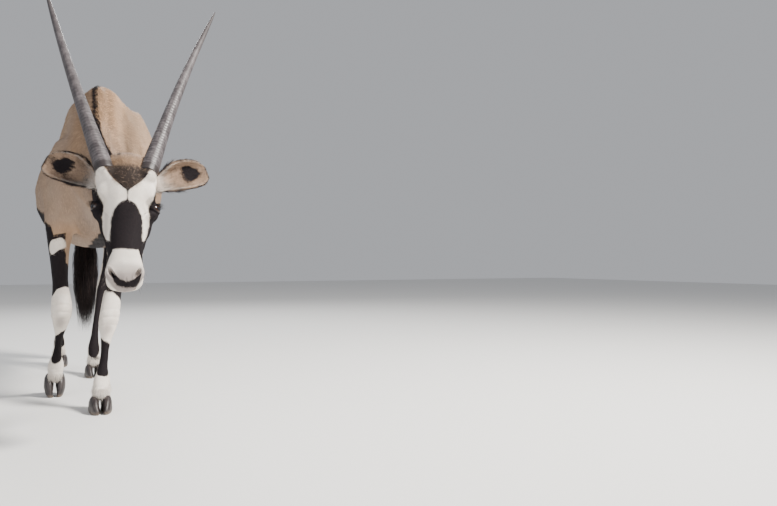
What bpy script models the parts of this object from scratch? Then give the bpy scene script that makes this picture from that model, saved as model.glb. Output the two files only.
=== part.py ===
"""A life-size gemsbok (Oryx gazella), walking slowly with its head lowered.

Frame: metres, +Z up, the animal faces -Y, its left side is +X, the hooves stand on z = 0.
The body is fused from tapered lofts and muscle ellipsoids, then parted by thin cuts into
head, neck, torso and legs. Horns, ears, eyes, hooves, dew claws and the tail are seated in it.
"""

import math
import random

import bmesh
import bpy
from mathutils import Matrix, Vector
from mathutils.bvhtree import BVHTree

# Driving dimensions, in metres
CROUP_Z = 1.105
BELLY_Z = 0.550
RIB_HALF_WIDTH = 0.222
HEAD_LENGTH = 0.358
HORN_BASE_RADIUS = 0.0236
TAIL_TIP_Z = 0.135
HOOF_HEIGHT = 0.056
GAP = 0.0003

# The head hangs nearly upright and turns a little to the animal's right
HEAD_ORIGIN = Vector((0.0108, -0.612, 0.770))
HEAD_TILT = math.radians(16.0)
HEAD_YAW = math.radians(-5.5)
HEAD_ROLL = math.radians(0.8)

HEAD_VOXEL = 0.0030
VOXEL = 0.0040
BODY_VOXEL = 0.0080
BODY_TRIANGLES = 6400
SHARP_ANGLE = math.radians(48)
BACK = Vector((0, 1, 0))
UP = Vector((0, 0, 1))
FORWARD = Vector((0, -1, 0))


def clear_scene():
    for obj in list(bpy.data.objects):
        bpy.data.objects.remove(obj, do_unlink=True)


def material(name, colour, roughness, metallic=0.0):
    made = bpy.data.materials.new(name)
    made.use_nodes = True
    shader = made.node_tree.nodes["Principled BSDF"]
    shader.inputs["Base Color"].default_value = (*colour, 1.0)
    shader.inputs["Roughness"].default_value = roughness
    shader.inputs["Metallic"].default_value = metallic
    return made


def add_object(name, bm):
    """A new object from a bmesh, which is freed."""
    bmesh.ops.recalc_face_normals(bm, faces=bm.faces)
    mesh = bpy.data.meshes.new(name)
    bm.to_mesh(mesh)
    bm.free()
    obj = bpy.data.objects.new(name, mesh)
    bpy.context.scene.collection.objects.link(obj)
    return obj


def spline(points, steps):
    """Points of equal length tuples joined by a Catmull-Rom curve, with this many steps a span."""
    ends = [points[0], *points, points[-1]]
    made = []
    for i in range(len(points) - 1):
        a, b, c, d = ends[i : i + 4]
        for step in range(steps):
            t = step / steps
            made.append(
                tuple(
                    0.5
                    * (
                        2 * q
                        + (r - p) * t
                        + (2 * p - 5 * q + 4 * r - s) * t * t
                        + (3 * q - p - 3 * r + s) * t * t * t
                    )
                    for p, q, r, s in zip(a, b, c, d)
                )
            )
    made.append(tuple(points[-1]))
    return made


def loft(name, stations, facing, steps=4, sides=28):
    """A closed tube through stations of (x, y, z, side, front, back, front power, back power).

    Each ring stands square to the path. Its front half size points along facing, its back half
    size the other way, and a power under 2 makes that half of the ring more pointed.
    """
    rows = spline(stations, steps)
    centres = [Vector(row[:3]) for row in rows]
    bm = bmesh.new()
    rings = []
    for i, (x, y, z, side, front, back, front_power, back_power) in enumerate(rows):
        along = (centres[min(i + 1, len(rows) - 1)] - centres[max(i - 1, 0)]).normalized()
        ahead = (facing - facing.dot(along) * along).normalized()
        across = along.cross(ahead)
        ring = bmesh.ops.create_circle(bm, segments=sides, radius=1.0)["verts"]
        for k, vert in enumerate(ring):
            angle = 2 * math.pi * k / sides
            c, s = math.cos(angle), math.sin(angle)
            power, depth = (front_power, front) if s > 0 else (back_power, back)
            wide = math.copysign(abs(c) ** (2 / power), c) * max(side, 0.0005)
            deep = math.copysign(abs(s) ** (2 / power), s) * max(depth, 0.0005)
            vert.co = Vector((x, y, z)) + across * wide + ahead * deep
        rings.append(ring)
    loops = [
        [e for e in bm.edges if e.verts[0] in chosen and e.verts[1] in chosen]
        for chosen in map(set, rings)
    ]
    for ring in (rings[0], rings[-1]):
        bm.faces.new(ring)
    for one, other in zip(loops, loops[1:]):
        bmesh.ops.bridge_loops(bm, edges=one + other)
    return add_object(name, bm)


def ellipsoid(name, centre, radii, turn=(0.0, 0.0, 0.0), segments=24):
    bm = bmesh.new()
    place = Matrix.Translation(centre)
    for angle, axis in zip(turn, "XYZ"):
        place = place @ Matrix.Rotation(math.radians(angle), 4, axis)
    bmesh.ops.create_uvsphere(
        bm,
        u_segments=segments,
        v_segments=segments // 2,
        radius=1.0,
        matrix=place @ Matrix.Diagonal((*radii, 1.0)),
    )
    return add_object(name, bm)


def settle(obj):
    """Replaces the object's mesh by what its modifiers make of it."""
    graph = bpy.context.evaluated_depsgraph_get()
    mesh = bpy.data.meshes.new_from_object(obj.evaluated_get(graph))
    obj.modifiers.clear()
    obj.data = mesh
    return obj


def join(name, pieces):
    """One object holding all the pieces' faces, with the pieces removed."""
    bm = bmesh.new()
    for piece in pieces:
        bm.from_mesh(piece.data)
        bpy.data.objects.remove(piece, do_unlink=True)
    return add_object(name, bm)


def fuse(name, pieces, voxel, rounds, factor=0.5):
    """The pieces melted into one closed surface, with their joins smoothed."""
    whole = join(name, pieces)
    melt = whole.modifiers.new("Melt", "REMESH")
    melt.mode = "VOXEL"
    melt.voxel_size = voxel
    soft = whole.modifiers.new("Soft", "SMOOTH")
    soft.factor = factor
    soft.iterations = rounds
    return settle(whole)


def collect(name, objects):
    group = bpy.data.collections.new(name)
    bpy.context.scene.collection.children.link(group)
    for obj in objects:
        bpy.context.scene.collection.objects.unlink(obj)
        group.objects.link(obj)
    return group


def combine(target, others, operation, solver="EXACT"):
    """Boolean of the target with all the others, which are then removed."""
    group = collect("Tools", others)
    change = target.modifiers.new("Combine", "BOOLEAN")
    change.operation = operation
    change.operand_type = "COLLECTION"
    change.collection = group
    change.solver = solver
    settle(target)
    for obj in list(group.objects):
        bpy.data.objects.remove(obj, do_unlink=True)
    bpy.data.collections.remove(group)
    return keep_largest(target)


def islands(bm):
    left = set(bm.faces)
    found = []
    while left:
        stack = [left.pop()]
        island = list(stack)
        while stack:
            for edge in stack.pop().edges:
                for face in edge.link_faces:
                    if face in left:
                        left.remove(face)
                        stack.append(face)
                        island.append(face)
        found.append(island)
    return sorted(found, key=len, reverse=True)


def keep_largest(obj):
    bm = bmesh.new()
    bm.from_mesh(obj.data)
    for scrap in islands(bm)[1:]:
        bmesh.ops.delete(bm, geom=scrap, context="FACES")
    bmesh.ops.triangulate(bm, faces=bm.faces)
    bm.to_mesh(obj.data)
    bm.free()
    return obj


def grown(obj, amount):
    """A copy of a seated piece, larger by this amount all over, which cuts its seat."""
    bm = bmesh.new()
    bm.from_mesh(obj.data)
    bm.normal_update()
    moves = [vert.normal * amount for vert in bm.verts]
    for vert, move in zip(bm.verts, moves):
        vert.co += move
    return add_object(obj.name + "_seat", bm)


def head_point(side, along, deep):
    """A point in the head's own measures: towards its left, down the face, and back from it."""
    turn = Matrix.Rotation(HEAD_YAW, 3, "Z") @ Matrix.Rotation(-HEAD_TILT, 3, "X")
    turn = turn @ Matrix.Rotation(HEAD_ROLL, 3, "Y")
    return HEAD_ORIGIN + turn @ Vector((side, deep, -along))


def head_direction(side, along, deep):
    return (head_point(side, along, deep) - head_point(0, 0, 0)).normalized()


# Torso: (y, top, bottom, widest height, half width, lean, top power, bottom power)
TORSO = (
    (-0.175, 0.880, 0.715, 0.80, 0.070, -0.012, 2.0, 2.0),
    (-0.120, 0.975, 0.630, 0.80, 0.128, -0.012, 1.8, 2.0),
    (-0.030, 1.075, 0.580, 0.80, 0.168, -0.008, 1.4, 2.1),
    (0.100, 1.140, BELLY_Z + 0.022, 0.80, 0.198, 0.006, 1.26, 2.1),
    (0.250, 1.134, BELLY_Z + 0.008, 0.79, 0.212, 0.0, 1.25, 2.1),
    (0.420, 1.104, BELLY_Z, 0.78, RIB_HALF_WIDTH, 0.0, 1.50, 2.1),
    (0.600, 1.090, BELLY_Z + 0.008, 0.78, RIB_HALF_WIDTH + 0.004, 0.0, 1.65, 2.1),
    (0.760, 1.100, BELLY_Z + 0.046, 0.82, 0.208, 0.0, 1.70, 2.0),
    (0.880, CROUP_Z + 0.004, BELLY_Z + 0.110, 0.87, 0.188, 0.0, 1.70, 2.0),
    (0.985, 1.094, 0.715, 0.89, 0.164, 0.0, 1.8, 2.0),
    (1.045, 1.074, 0.790, 0.90, 0.126, 0.0, 2.0, 2.0),
    (1.078, 1.042, 0.830, 0.90, 0.086, 0.0, 2.0, 2.0),
    (1.096, 0.995, 0.870, 0.90, 0.040, 0.0, 2.0, 2.0),
)


def torso_shape():
    stations = [
        (lean, y, middle, half, top - middle, middle - bottom, top_power, bottom_power)
        for y, top, bottom, middle, half, lean, top_power, bottom_power in TORSO
    ]
    return [loft("TorsoForm", stations, UP, steps=3, sides=36)]


def neck_shape():
    """From inside the shoulders to the poll: (x, y, crest, throat, half width)."""
    rows = (
        (0.004, 0.170, 1.130, 0.640, 0.165),
        (0.000, 0.000, 1.105, 0.640, 0.150),
        (-0.010, -0.120, 1.040, 0.640, 0.128),
        (-0.016, -0.230, 0.968, 0.640, 0.106),
        (-0.014, -0.340, 0.893, 0.630, 0.088),
        (-0.004, -0.430, 0.832, 0.615, 0.078),
        (0.006, -0.500, 0.788, 0.610, 0.070),
    )
    stations = []
    for x, y, crest, throat, half in rows:
        middle = throat + 0.46 * (crest - throat)
        stations.append((x, y, middle, half, crest - middle, middle - throat, 1.75, 2.0))
    return [loft("NeckForm", stations, UP, steps=3, sides=28)]


# Each limb: (x, y, z, half width, front half depth, back half depth) down the bone
FORE_RIGHT = (
    (-0.116, -0.030, 0.900, 0.050, 0.110, 0.110),
    (-0.130, -0.030, 0.780, 0.060, 0.100, 0.110),
    (-0.142, 0.000, 0.670, 0.054, 0.080, 0.098),
    (-0.143, 0.020, 0.590, 0.044, 0.060, 0.074),
    (-0.141, 0.038, 0.510, 0.034, 0.045, 0.049),
    (-0.137, 0.060, 0.420, 0.0295, 0.036, 0.035),
    (-0.133, 0.074, 0.365, 0.036, 0.039, 0.035),
    (-0.132, 0.086, 0.322, 0.040, 0.041, 0.038),
    (-0.134, 0.102, 0.282, 0.032, 0.031, 0.035),
    (-0.138, 0.130, 0.232, 0.0195, 0.021, 0.027),
    (-0.142, 0.160, 0.180, 0.0185, 0.020, 0.026),
    (-0.146, 0.186, 0.138, 0.0255, 0.025, 0.031),
    (-0.147, 0.201, 0.112, 0.0330, 0.030, 0.034),
    (-0.149, 0.206, 0.086, 0.0290, 0.027, 0.028),
    (-0.150, 0.206, 0.060, 0.0280, 0.026, 0.027),
)
FORE_LEFT = (
    (0.120, -0.030, 0.900, 0.050, 0.110, 0.110),
    (0.122, -0.035, 0.780, 0.061, 0.100, 0.110),
    (0.108, -0.030, 0.670, 0.056, 0.080, 0.098),
    (0.088, -0.025, 0.590, 0.045, 0.060, 0.074),
    (0.062, -0.035, 0.510, 0.035, 0.045, 0.049),
    (0.033, -0.058, 0.420, 0.0300, 0.036, 0.035),
    (0.017, -0.072, 0.357, 0.036, 0.039, 0.035),
    (0.010, -0.082, 0.312, 0.0395, 0.041, 0.038),
    (0.005, -0.089, 0.268, 0.032, 0.031, 0.035),
    (-0.001, -0.097, 0.217, 0.0200, 0.021, 0.027),
    (-0.007, -0.105, 0.160, 0.0190, 0.020, 0.026),
    (-0.012, -0.113, 0.118, 0.0255, 0.025, 0.031),
    (-0.014, -0.122, 0.092, 0.0320, 0.029, 0.034),
    (-0.017, -0.143, 0.064, 0.0280, 0.026, 0.027),
    (-0.020, -0.156, 0.044, 0.0285, 0.027, 0.029),
)
HIND_LEFT = (
    (0.085, 0.900, 0.960, 0.070, 0.120, 0.130),
    (0.105, 0.870, 0.850, 0.078, 0.150, 0.176),
    (0.115, 0.830, 0.740, 0.076, 0.145, 0.185),
    (0.112, 0.790, 0.650, 0.063, 0.115, 0.152),
    (0.098, 0.776, 0.560, 0.046, 0.076, 0.098),
    (0.078, 0.784, 0.480, 0.032, 0.044, 0.052),
    (0.062, 0.780, 0.420, 0.0300, 0.037, 0.046),
    (0.050, 0.762, 0.372, 0.0290, 0.034, 0.040),
    (0.036, 0.732, 0.310, 0.0210, 0.024, 0.028),
    (0.022, 0.704, 0.230, 0.0190, 0.021, 0.026),
    (0.014, 0.682, 0.165, 0.0210, 0.023, 0.028),
    (0.011, 0.668, 0.122, 0.0290, 0.029, 0.032),
    (0.010, 0.650, 0.090, 0.0285, 0.029, 0.030),
    (0.009, 0.630, 0.064, 0.0265, 0.026, 0.027),
    (0.008, 0.616, 0.044, 0.0285, 0.027, 0.029),
)
HIND_RIGHT = (
    (-0.085, 0.930, 0.960, 0.070, 0.120, 0.120),
    (-0.105, 0.915, 0.850, 0.078, 0.155, 0.148),
    (-0.116, 0.890, 0.740, 0.076, 0.145, 0.184),
    (-0.121, 0.890, 0.650, 0.063, 0.120, 0.150),
    (-0.124, 0.918, 0.560, 0.046, 0.078, 0.096),
    (-0.124, 0.965, 0.480, 0.032, 0.044, 0.052),
    (-0.123, 0.995, 0.425, 0.0300, 0.037, 0.046),
    (-0.122, 1.008, 0.372, 0.0290, 0.034, 0.040),
    (-0.121, 1.020, 0.300, 0.0210, 0.024, 0.028),
    (-0.120, 1.036, 0.220, 0.0190, 0.021, 0.026),
    (-0.119, 1.050, 0.155, 0.0210, 0.023, 0.028),
    (-0.118, 1.056, 0.115, 0.0290, 0.029, 0.032),
    (-0.118, 1.044, 0.088, 0.0285, 0.029, 0.030),
    (-0.118, 1.024, 0.064, 0.0265, 0.026, 0.027),
    (-0.118, 1.010, 0.044, 0.0285, 0.027, 0.029),
)
# Dew claws: height above the floor of each pair, and the leg row nearest to it
DEW_CLAWS = (
    (Vector((-0.147, 0.228, 0.106)), 0.021),
    (Vector((-0.015, -0.093, 0.086)), 0.021),
    (Vector((0.010, 0.677, 0.092)), 0.020),
    (Vector((-0.118, 1.071, 0.090)), 0.020),
)


def limb_shape(name, rows):
    stations = [(*row, 2.0, 2.0) for row in rows]
    return loft(name + "Form", stations, FORWARD, steps=3, sides=20)


def muscles():
    """Shoulder blades, upper arms, haunches, hips and the brisket."""
    made = []
    for side, blade in ((-1, (-0.098, 0.060, 0.905)), (1, (0.117, 0.050, 0.938))):
        made += [
            ellipsoid("Blade", blade, (0.050, 0.105, 0.190), (-12, -side * 19, 0)),
            ellipsoid("UpperArm", (side * 0.132, -0.045, 0.745), (0.058, 0.105, 0.120), (24, 0, 0)),
            ellipsoid("Haunch", (side * 0.110, 0.925, 0.870), (0.076, 0.150, 0.185), (10, -side * 8, 0)),
            ellipsoid("Hip", (side * 0.092, 0.800, 1.005), (0.062, 0.080, 0.058), (0, side * 28, 0)),
            ellipsoid("Buttock", (side * 0.068, 0.990, 0.905), (0.072, 0.098, 0.180), (-4, 0, 0)),
        ]
    made.append(ellipsoid("Brisket", (-0.010, -0.090, 0.690), (0.085, 0.120, 0.100), (24, 0, 0)))
    for place, apart in DEW_CLAWS:
        for side in (-1, 1):
            spot = place + Vector((side * apart, 0, 0))
            made.append(ellipsoid("DewClaw", spot, (0.0115, 0.014, 0.018), (30, 0, 0), 12))
    return made


# Head: (along, front, back, half width, front power, back power), in head measures
HEAD = (
    (-0.040, 0.052, 0.120, 0.032, 2.0, 2.0),
    (-0.027, 0.026, 0.142, 0.052, 2.1, 2.0),
    (-0.006, 0.004, 0.168, 0.069, 2.2, 2.0),
    (0.030, -0.006, 0.188, 0.077, 2.4, 2.0),
    (0.070, -0.008, 0.200, 0.080, 2.4, 1.9),
    (0.110, -0.006, 0.201, 0.076, 2.3, 1.9),
    (0.150, -0.003, 0.190, 0.066, 2.2, 1.9),
    (0.190, 0.000, 0.166, 0.0585, 2.3, 1.9),
    (0.225, 0.000, 0.142, 0.0520, 2.4, 2.0),
    (0.255, -0.001, 0.124, 0.0465, 2.5, 2.1),
    (0.285, -0.004, 0.114, 0.0480, 2.5, 2.2),
    (0.310, -0.004, 0.106, 0.0490, 2.4, 2.2),
    (0.333, 0.003, 0.094, 0.0430, 2.2, 2.1),
    (0.347, 0.013, 0.080, 0.0320, 2.1, 2.1),
    (HEAD_LENGTH, 0.028, 0.066, 0.0160, 2.0, 2.0),
)
EYE = (0.0700, 0.116, 0.057)
EYE_RADIUS = 0.0195
NOSTRIL = (0.0340, 0.316, 0.006)
HORN_BASE = (0.060, 0.002, 0.034)
HORN_TIPS = {"left": (0.289, -0.752, 0.322), "right": (-0.270, -0.782, 0.345)}
HORN_BULGE = {"left": -0.009, "right": 0.005}
HORN_RINGS = 14
PEDICLE = ((-0.026, 0.0180), (-0.012, 0.0280), (0.002, 0.0315), (0.012, 0.0300))
EAR_ROOT = (0.072, 0.034, 0.092)
EAR_TIPS = {"left": (0.226, -0.028, 0.108), "right": (-0.219, -0.050, 0.150)}
EAR = (
    (0.00, 0.016, 0.012, 0.00),
    (0.10, 0.021, 0.018, 0.10),
    (0.22, 0.031, 0.024, 0.75),
    (0.36, 0.041, 0.026, 0.86),
    (0.52, 0.0455, 0.024, 0.86),
    (0.68, 0.0455, 0.019, 0.82),
    (0.82, 0.041, 0.013, 0.75),
    (0.93, 0.031, 0.007, 0.60),
    (1.00, 0.016, 0.003, 0.00),
)
EAR_ARCH = 0.013


def head_loft():
    face = head_direction(0, 0, -1)
    stations = []
    for along, front, back, half, front_power, back_power in HEAD:
        middle = front + 0.42 * (back - front)
        centre = head_point(0, along, middle)
        stations.append((*centre, half, middle - front, back - middle, front_power, back_power))
    return loft("HeadForm", stations, face, steps=3, sides=36)


def head_ball(name, place, radii, turn=(0.0, 0.0, 0.0), segments=24):
    """An ellipsoid placed and turned in head measures: radii are across, along and deep."""
    made = ellipsoid(name, (0, 0, 0), radii, turn, segments)
    across, down, inwards = (head_direction(*v) for v in ((1, 0, 0), (0, 1, 0), (0, 0, 1)))
    basis = Matrix((across, down, inwards)).transposed().to_4x4()
    made.data.transform(Matrix.Translation(head_point(*place)) @ basis)
    if basis.determinant() < 0:
        made.data.flip_normals()
    return made


def horn_axis(side):
    """Where a horn's axis meets the skull, and the axis from there to its tip."""
    base = head_point(side * HORN_BASE[0], HORN_BASE[1], HORN_BASE[2])
    return base, head_point(*HORN_TIPS["left" if side > 0 else "right"]) - base


def pedicle(side):
    """The collar of skin and bone that a horn grows from."""
    base, axis = horn_axis(side)
    axis.normalize()
    stations = [(*(base + axis * level), r, r, r, 2.0, 2.0) for level, r in PEDICLE]
    return loft("Pedicle", stations, head_direction(0, 0, -1), steps=1, sides=20)


def head_forms():
    """Brow, cheek, jaw, nose and lip masses."""
    made = [head_loft()]
    eye_side, eye_along, eye_deep = EYE
    for side in (-1, 1):
        made += [
            head_ball("Brow", (side * 0.055, eye_along - 0.036, 0.038), (0.027, 0.048, 0.032)),
            head_ball("Socket", (side * 0.060, eye_along, eye_deep), (0.0330, 0.040, 0.036)),
            head_ball("CheekBone", (side * 0.050, 0.155, 0.062), (0.020, 0.055, 0.022)),
            head_ball("Masseter", (side * 0.042, 0.110, 0.135), (0.029, 0.080, 0.060)),
            pedicle(side),
            head_ball("NostrilWing", (side * 0.031, 0.308, 0.022), (0.0225, 0.028, 0.026)),
            head_ball("UpperLip", (side * 0.025, 0.322, 0.052), (0.026, 0.029, 0.030)),
            head_ball("EarBase", (side * 0.062, 0.020, 0.094), (0.026, 0.032, 0.034)),
        ]
    made += [
        head_ball("NoseTip", (0, 0.320, 0.020), (0.033, 0.027, 0.024)),
        head_ball("Chin", (0, 0.318, 0.090), (0.023, 0.027, 0.021)),
        head_ball("Throat", (0, 0.060, 0.165), (0.052, 0.070, 0.045)),
    ]
    return made


def head_cuts():
    """Nostrils, the line of the mouth and the opening between the lids, as cutters."""
    made = []
    for side in (-1, 1):
        place = (side * NOSTRIL[0], NOSTRIL[1], NOSTRIL[2])
        made += [
            head_ball("Nostril", place, (0.0060, 0.017, 0.015), (0, 0, side * 34), 12),
            head_ball("MouthSide", (side * 0.040, 0.300, 0.082), (0.022, 0.042, 0.0019), (10, 0, 0), 12),
            head_ball("Lids", (side * 0.094, EYE[1], EYE[2] - 0.002), (0.022, 0.0205, 0.0128), (-24, 0, 0), 16),
        ]
    made.append(head_ball("MouthFront", (0, 0.350, 0.076), (0.036, 0.020, 0.0022), (24, 0, 0), 12))
    return made


def eye_ball(name, side):
    return head_ball(name, (side * EYE[0], EYE[1], EYE[2]), (EYE_RADIUS, EYE_RADIUS, EYE_RADIUS), segments=12)


def horn(name, side):
    """Ringed over its lower part, smooth above, splayed and swept a little back."""
    sign = 1 if side == "left" else -1
    base, axis = horn_axis(sign)
    outward = head_direction(sign, 0, 0)
    levels = [-0.014, 0.0]
    place = 0.036
    for ring in range(HORN_RINGS):
        pitch = 0.0165 + 0.0015 * ring
        levels += [place + 0.10 * pitch, place + 0.55 * pitch]
        place += pitch
    while place < 0.93:
        levels.append(place)
        place += 0.11
    levels += [0.965, 1.0]
    stations = []
    for i, level in enumerate(levels):
        centre = base + level * axis
        centre += outward * HORN_BULGE[side] * math.sin(math.pi * max(level, 0.0)) * 1.25
        centre += BACK * -0.006 * math.sin(math.pi * max(level, 0.0))
        radius = HORN_BASE_RADIUS * max(0.0, 1.0 - level) ** 0.42
        if 2 <= i < 2 * HORN_RINGS:
            radius += 0.0018 * (1 if i % 2 else -0.5) * (1.0 - 0.6 * i / (2 * HORN_RINGS))
        radius = max(radius, 0.0012)
        stations.append((*centre, radius, radius * 1.08, radius * 1.08, 2.0, 2.0))
    return loft(name, stations, head_direction(0, 0, -1), steps=1, sides=10)


def ear(name, side):
    """A leaf-shaped cup open towards the front, thin at its rim and solid at its root."""
    sign = 1 if side == "left" else -1
    root = head_point(sign * EAR_ROOT[0], EAR_ROOT[1], EAR_ROOT[2])
    tip = head_point(*EAR_TIPS[side])
    axis = (tip - root).normalized()
    length = (tip - root).length
    facing = head_direction(sign * 0.35, 0.1, -1)
    facing = (facing - facing.dot(axis) * axis).normalized()
    wide = axis.cross(facing)
    if wide.z < 0:
        wide.negate()
    bm = bmesh.new()
    rings = []
    ends = 7
    for along, half, cup, hollow in spline(list(EAR), 1):
        centre = root + axis * (along * length) + wide * EAR_ARCH * math.sin(math.pi * along)
        ring = []
        for layer in (0, 1):
            for k in range(ends):
                s = 1.0 - 2.0 * k / (ends - 1)
                if layer:
                    s = -s
                arc = math.sqrt(max(0.0, 1.0 - s * s))
                if layer == 0:
                    spot = wide * s * half - facing * cup * arc
                else:
                    spot = wide * s * (half - 0.0022) + facing * (0.0022 - (cup * arc - 0.0034) * hollow)
                ring.append(bm.verts.new(centre + spot))
        rings.append(ring)
    for one, other in zip(rings, rings[1:]):
        for k in range(len(one)):
            after = (k + 1) % len(one)
            bm.faces.new((one[k], one[after], other[after], other[k]))
    bm.faces.new(rings[0])
    bm.faces.new(rings[-1])
    bmesh.ops.triangulate(bm, faces=bm.faces)
    return add_object(name, bm)


# Each claw from toe to heel: (y, height, half width), its sole on z = 0
CLAW = (
    (-0.060, 0.010, 0.0038),
    (-0.052, 0.022, 0.0080),
    (-0.036, 0.040, 0.0125),
    (-0.014, HOOF_HEIGHT, 0.0156),
    (0.012, HOOF_HEIGHT - 0.004, 0.0164),
    (0.030, 0.044, 0.0148),
    (0.040, 0.030, 0.0095),
)
CORONET = Vector((0, -0.008, 0.048))


def claw(name, foot, side, pitch=0.0, spread=0.0):
    """One of the two claws of a foot whose leg ends at this point."""
    stations = []
    for y, height, half in CLAW:
        inner = 0.0030
        x = side * (inner + half + 0.25 * max(0.0, -y) * 0.3)
        middle = height * 0.40
        stations.append((x, y, middle, half, height - middle, middle + 0.004, 2.2, 5.0))
    made = loft(name, stations, UP, steps=1, sides=10)
    turn = Matrix.Rotation(pitch, 4, "X") @ Matrix.Rotation(side * spread, 4, "Z")
    made.data.transform(Matrix.Translation(foot) @ turn @ Matrix.Translation(-CORONET))
    for vert in made.data.vertices:
        vert.co.z = max(vert.co.z, 0.0)
    return made


FEET = {
    "front_right": (Vector((-0.150, 0.206, 0.064)), math.radians(32)),
    "front_left": (Vector((-0.020, -0.156, 0.048)), 0.0),
    "hind_left": (Vector((0.008, 0.616, 0.048)), 0.0),
    "hind_right": (Vector((-0.118, 1.010, 0.048)), 0.0),
}


# Tail: (x, y, z, half width, half depth) down the dock, then down its hair
DOCK = (
    (0.000, 0.990, 1.040, 0.026, 0.022),
    (0.000, 1.040, 1.046, 0.026, 0.023),
    (0.000, 1.092, 1.030, 0.024, 0.022),
    (0.000, 1.122, 0.985, 0.020, 0.018),
    (0.000, 1.140, 0.900, 0.017, 0.016),
    (0.000, 1.142, 0.800, 0.015, 0.014),
)
# The hair's core ends half way down; tiers of locks run over it to the tips
TAIL_CORE = (
    (0.000, 1.140, 0.700, 0.022, 0.019),
    (0.000, 1.136, 0.600, 0.030, 0.025),
    (0.000, 1.133, 0.520, 0.024, 0.020),
    (0.000, 1.132, 0.465, 0.008, 0.008),
)
# Each tier: height of its roots, number of locks, their length and width
TAIL_TIERS = (
    (0.800, 4, 0.300, 0.032),
    (0.715, 6, 0.370, 0.038),
    (0.630, 6, 0.420, 0.042),
    (0.545, 6, 0.400, 0.038),
)
# How far the hair stands out from the tail's middle line at each height
TAIL_FLARE = ((0.85, 0.012), (0.75, 0.026), (0.62, 0.042), (0.48, 0.051), (0.34, 0.050), (0.20, 0.044), (0.10, 0.038))


def along_table(table, value):
    """The second number of a table of pairs, read off at this first number."""
    for (a, low), (b, high) in zip(table, table[1:]):
        if (a - value) * (b - value) <= 0:
            return low + (high - low) * (value - a) / (b - a)
    return table[0][1] if abs(value - table[0][0]) < abs(value - table[-1][0]) else table[-1][1]


def lock(name, path, width, thickness, flat):
    """A tapered lock along a path: a flat diamond in section, with a point at its tip.

    Flat gives the way its width runs at each point of the path.
    """
    bm = bmesh.new()
    rings = []
    last = len(path) - 1
    for i, (point, wide) in enumerate(zip(path[:-1], flat)):
        along = (path[i + 1] - path[max(i - 1, 0)]).normalized()
        wide = (wide - wide.dot(along) * along).normalized()
        thin = along.cross(wide)
        share = i / last
        half = 0.5 * width * (0.62 + 0.38 * math.sin(math.pi * min(1.0, 0.15 + 1.1 * share))) * (1.0 - share**3)
        deep = 0.5 * thickness * (1.0 - 0.75 * share)
        offsets = (wide * half, thin * deep, -wide * half, -thin * deep)
        rings.append([bm.verts.new(point + offset) for offset in offsets])
    for one, other in zip(rings, rings[1:]):
        for k in range(4):
            after = (k + 1) % 4
            bm.faces.new((one[k], one[after], other[after], other[k]))
    bm.faces.new(rings[0])
    tip = bm.verts.new(path[-1])
    for k in range(4):
        bm.faces.new((rings[-1][k], rings[-1][(k + 1) % 4], tip))
    bmesh.ops.triangulate(bm, faces=bm.faces)
    return add_object(name, bm)


def tail_locks():
    """Tiers of overlapping locks round the tail, spreading a little towards their tips."""
    draw = random.Random(11)
    middle = [(z, y) for _, y, z, _, _ in (*DOCK, *TAIL_CORE)]
    made = []
    for tier, (top, count, length, width) in enumerate(TAIL_TIERS):
        for k in range(count):
            angle = 2 * math.pi * (k + 0.5 * (tier % 2) + draw.uniform(-0.12, 0.12)) / count
            run = length * draw.uniform(0.86, 1.0)
            reach = draw.uniform(0.55, 1.0)
            sway = draw.uniform(-0.010, 0.010)
            path = []
            flat = []
            steps = 4
            for step in range(steps + 1):
                share = step / steps
                z = max(top - run * share, TAIL_TIP_Z)
                out = along_table(TAIL_FLARE, z) * (0.30 + (reach - 0.30) * min(1.0, 1.8 * share))
                turn = angle + 0.25 * math.sin(2.4 * share + k)
                radial = Vector((math.cos(turn), 0.82 * math.sin(turn), 0))
                point = Vector((0, along_table(middle, z), z)) + radial * out
                point.x += sway * share * share
                path.append(point)
                flat.append(Vector((-math.sin(turn), math.cos(turn), 0)))
            made.append(lock("TailLock", path, width, 0.011, flat))
    return made


def tail_core(name, grow=0.0):
    stations = []
    for i, (x, y, z, half, deep) in enumerate((*DOCK, *TAIL_CORE)):
        deep += grow
        stations.append((x, y if i else y - grow, z, half + grow, deep, deep, 2.0, 2.0))
    return loft(name, stations, BACK, steps=2, sides=10)


def tail_shape(name):
    return combine(tail_core(name), tail_locks(), "UNION")


# Mane: from the poll to just behind the withers, in pairs of leaning locks
MANE_FRONT = -0.470
MANE_REAR = 0.150
MANE_STEP = 0.0300
MANE_HEIGHT = 0.026
MANE_LEAN = 0.082
MANE_WIDTH = 0.027


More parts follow.
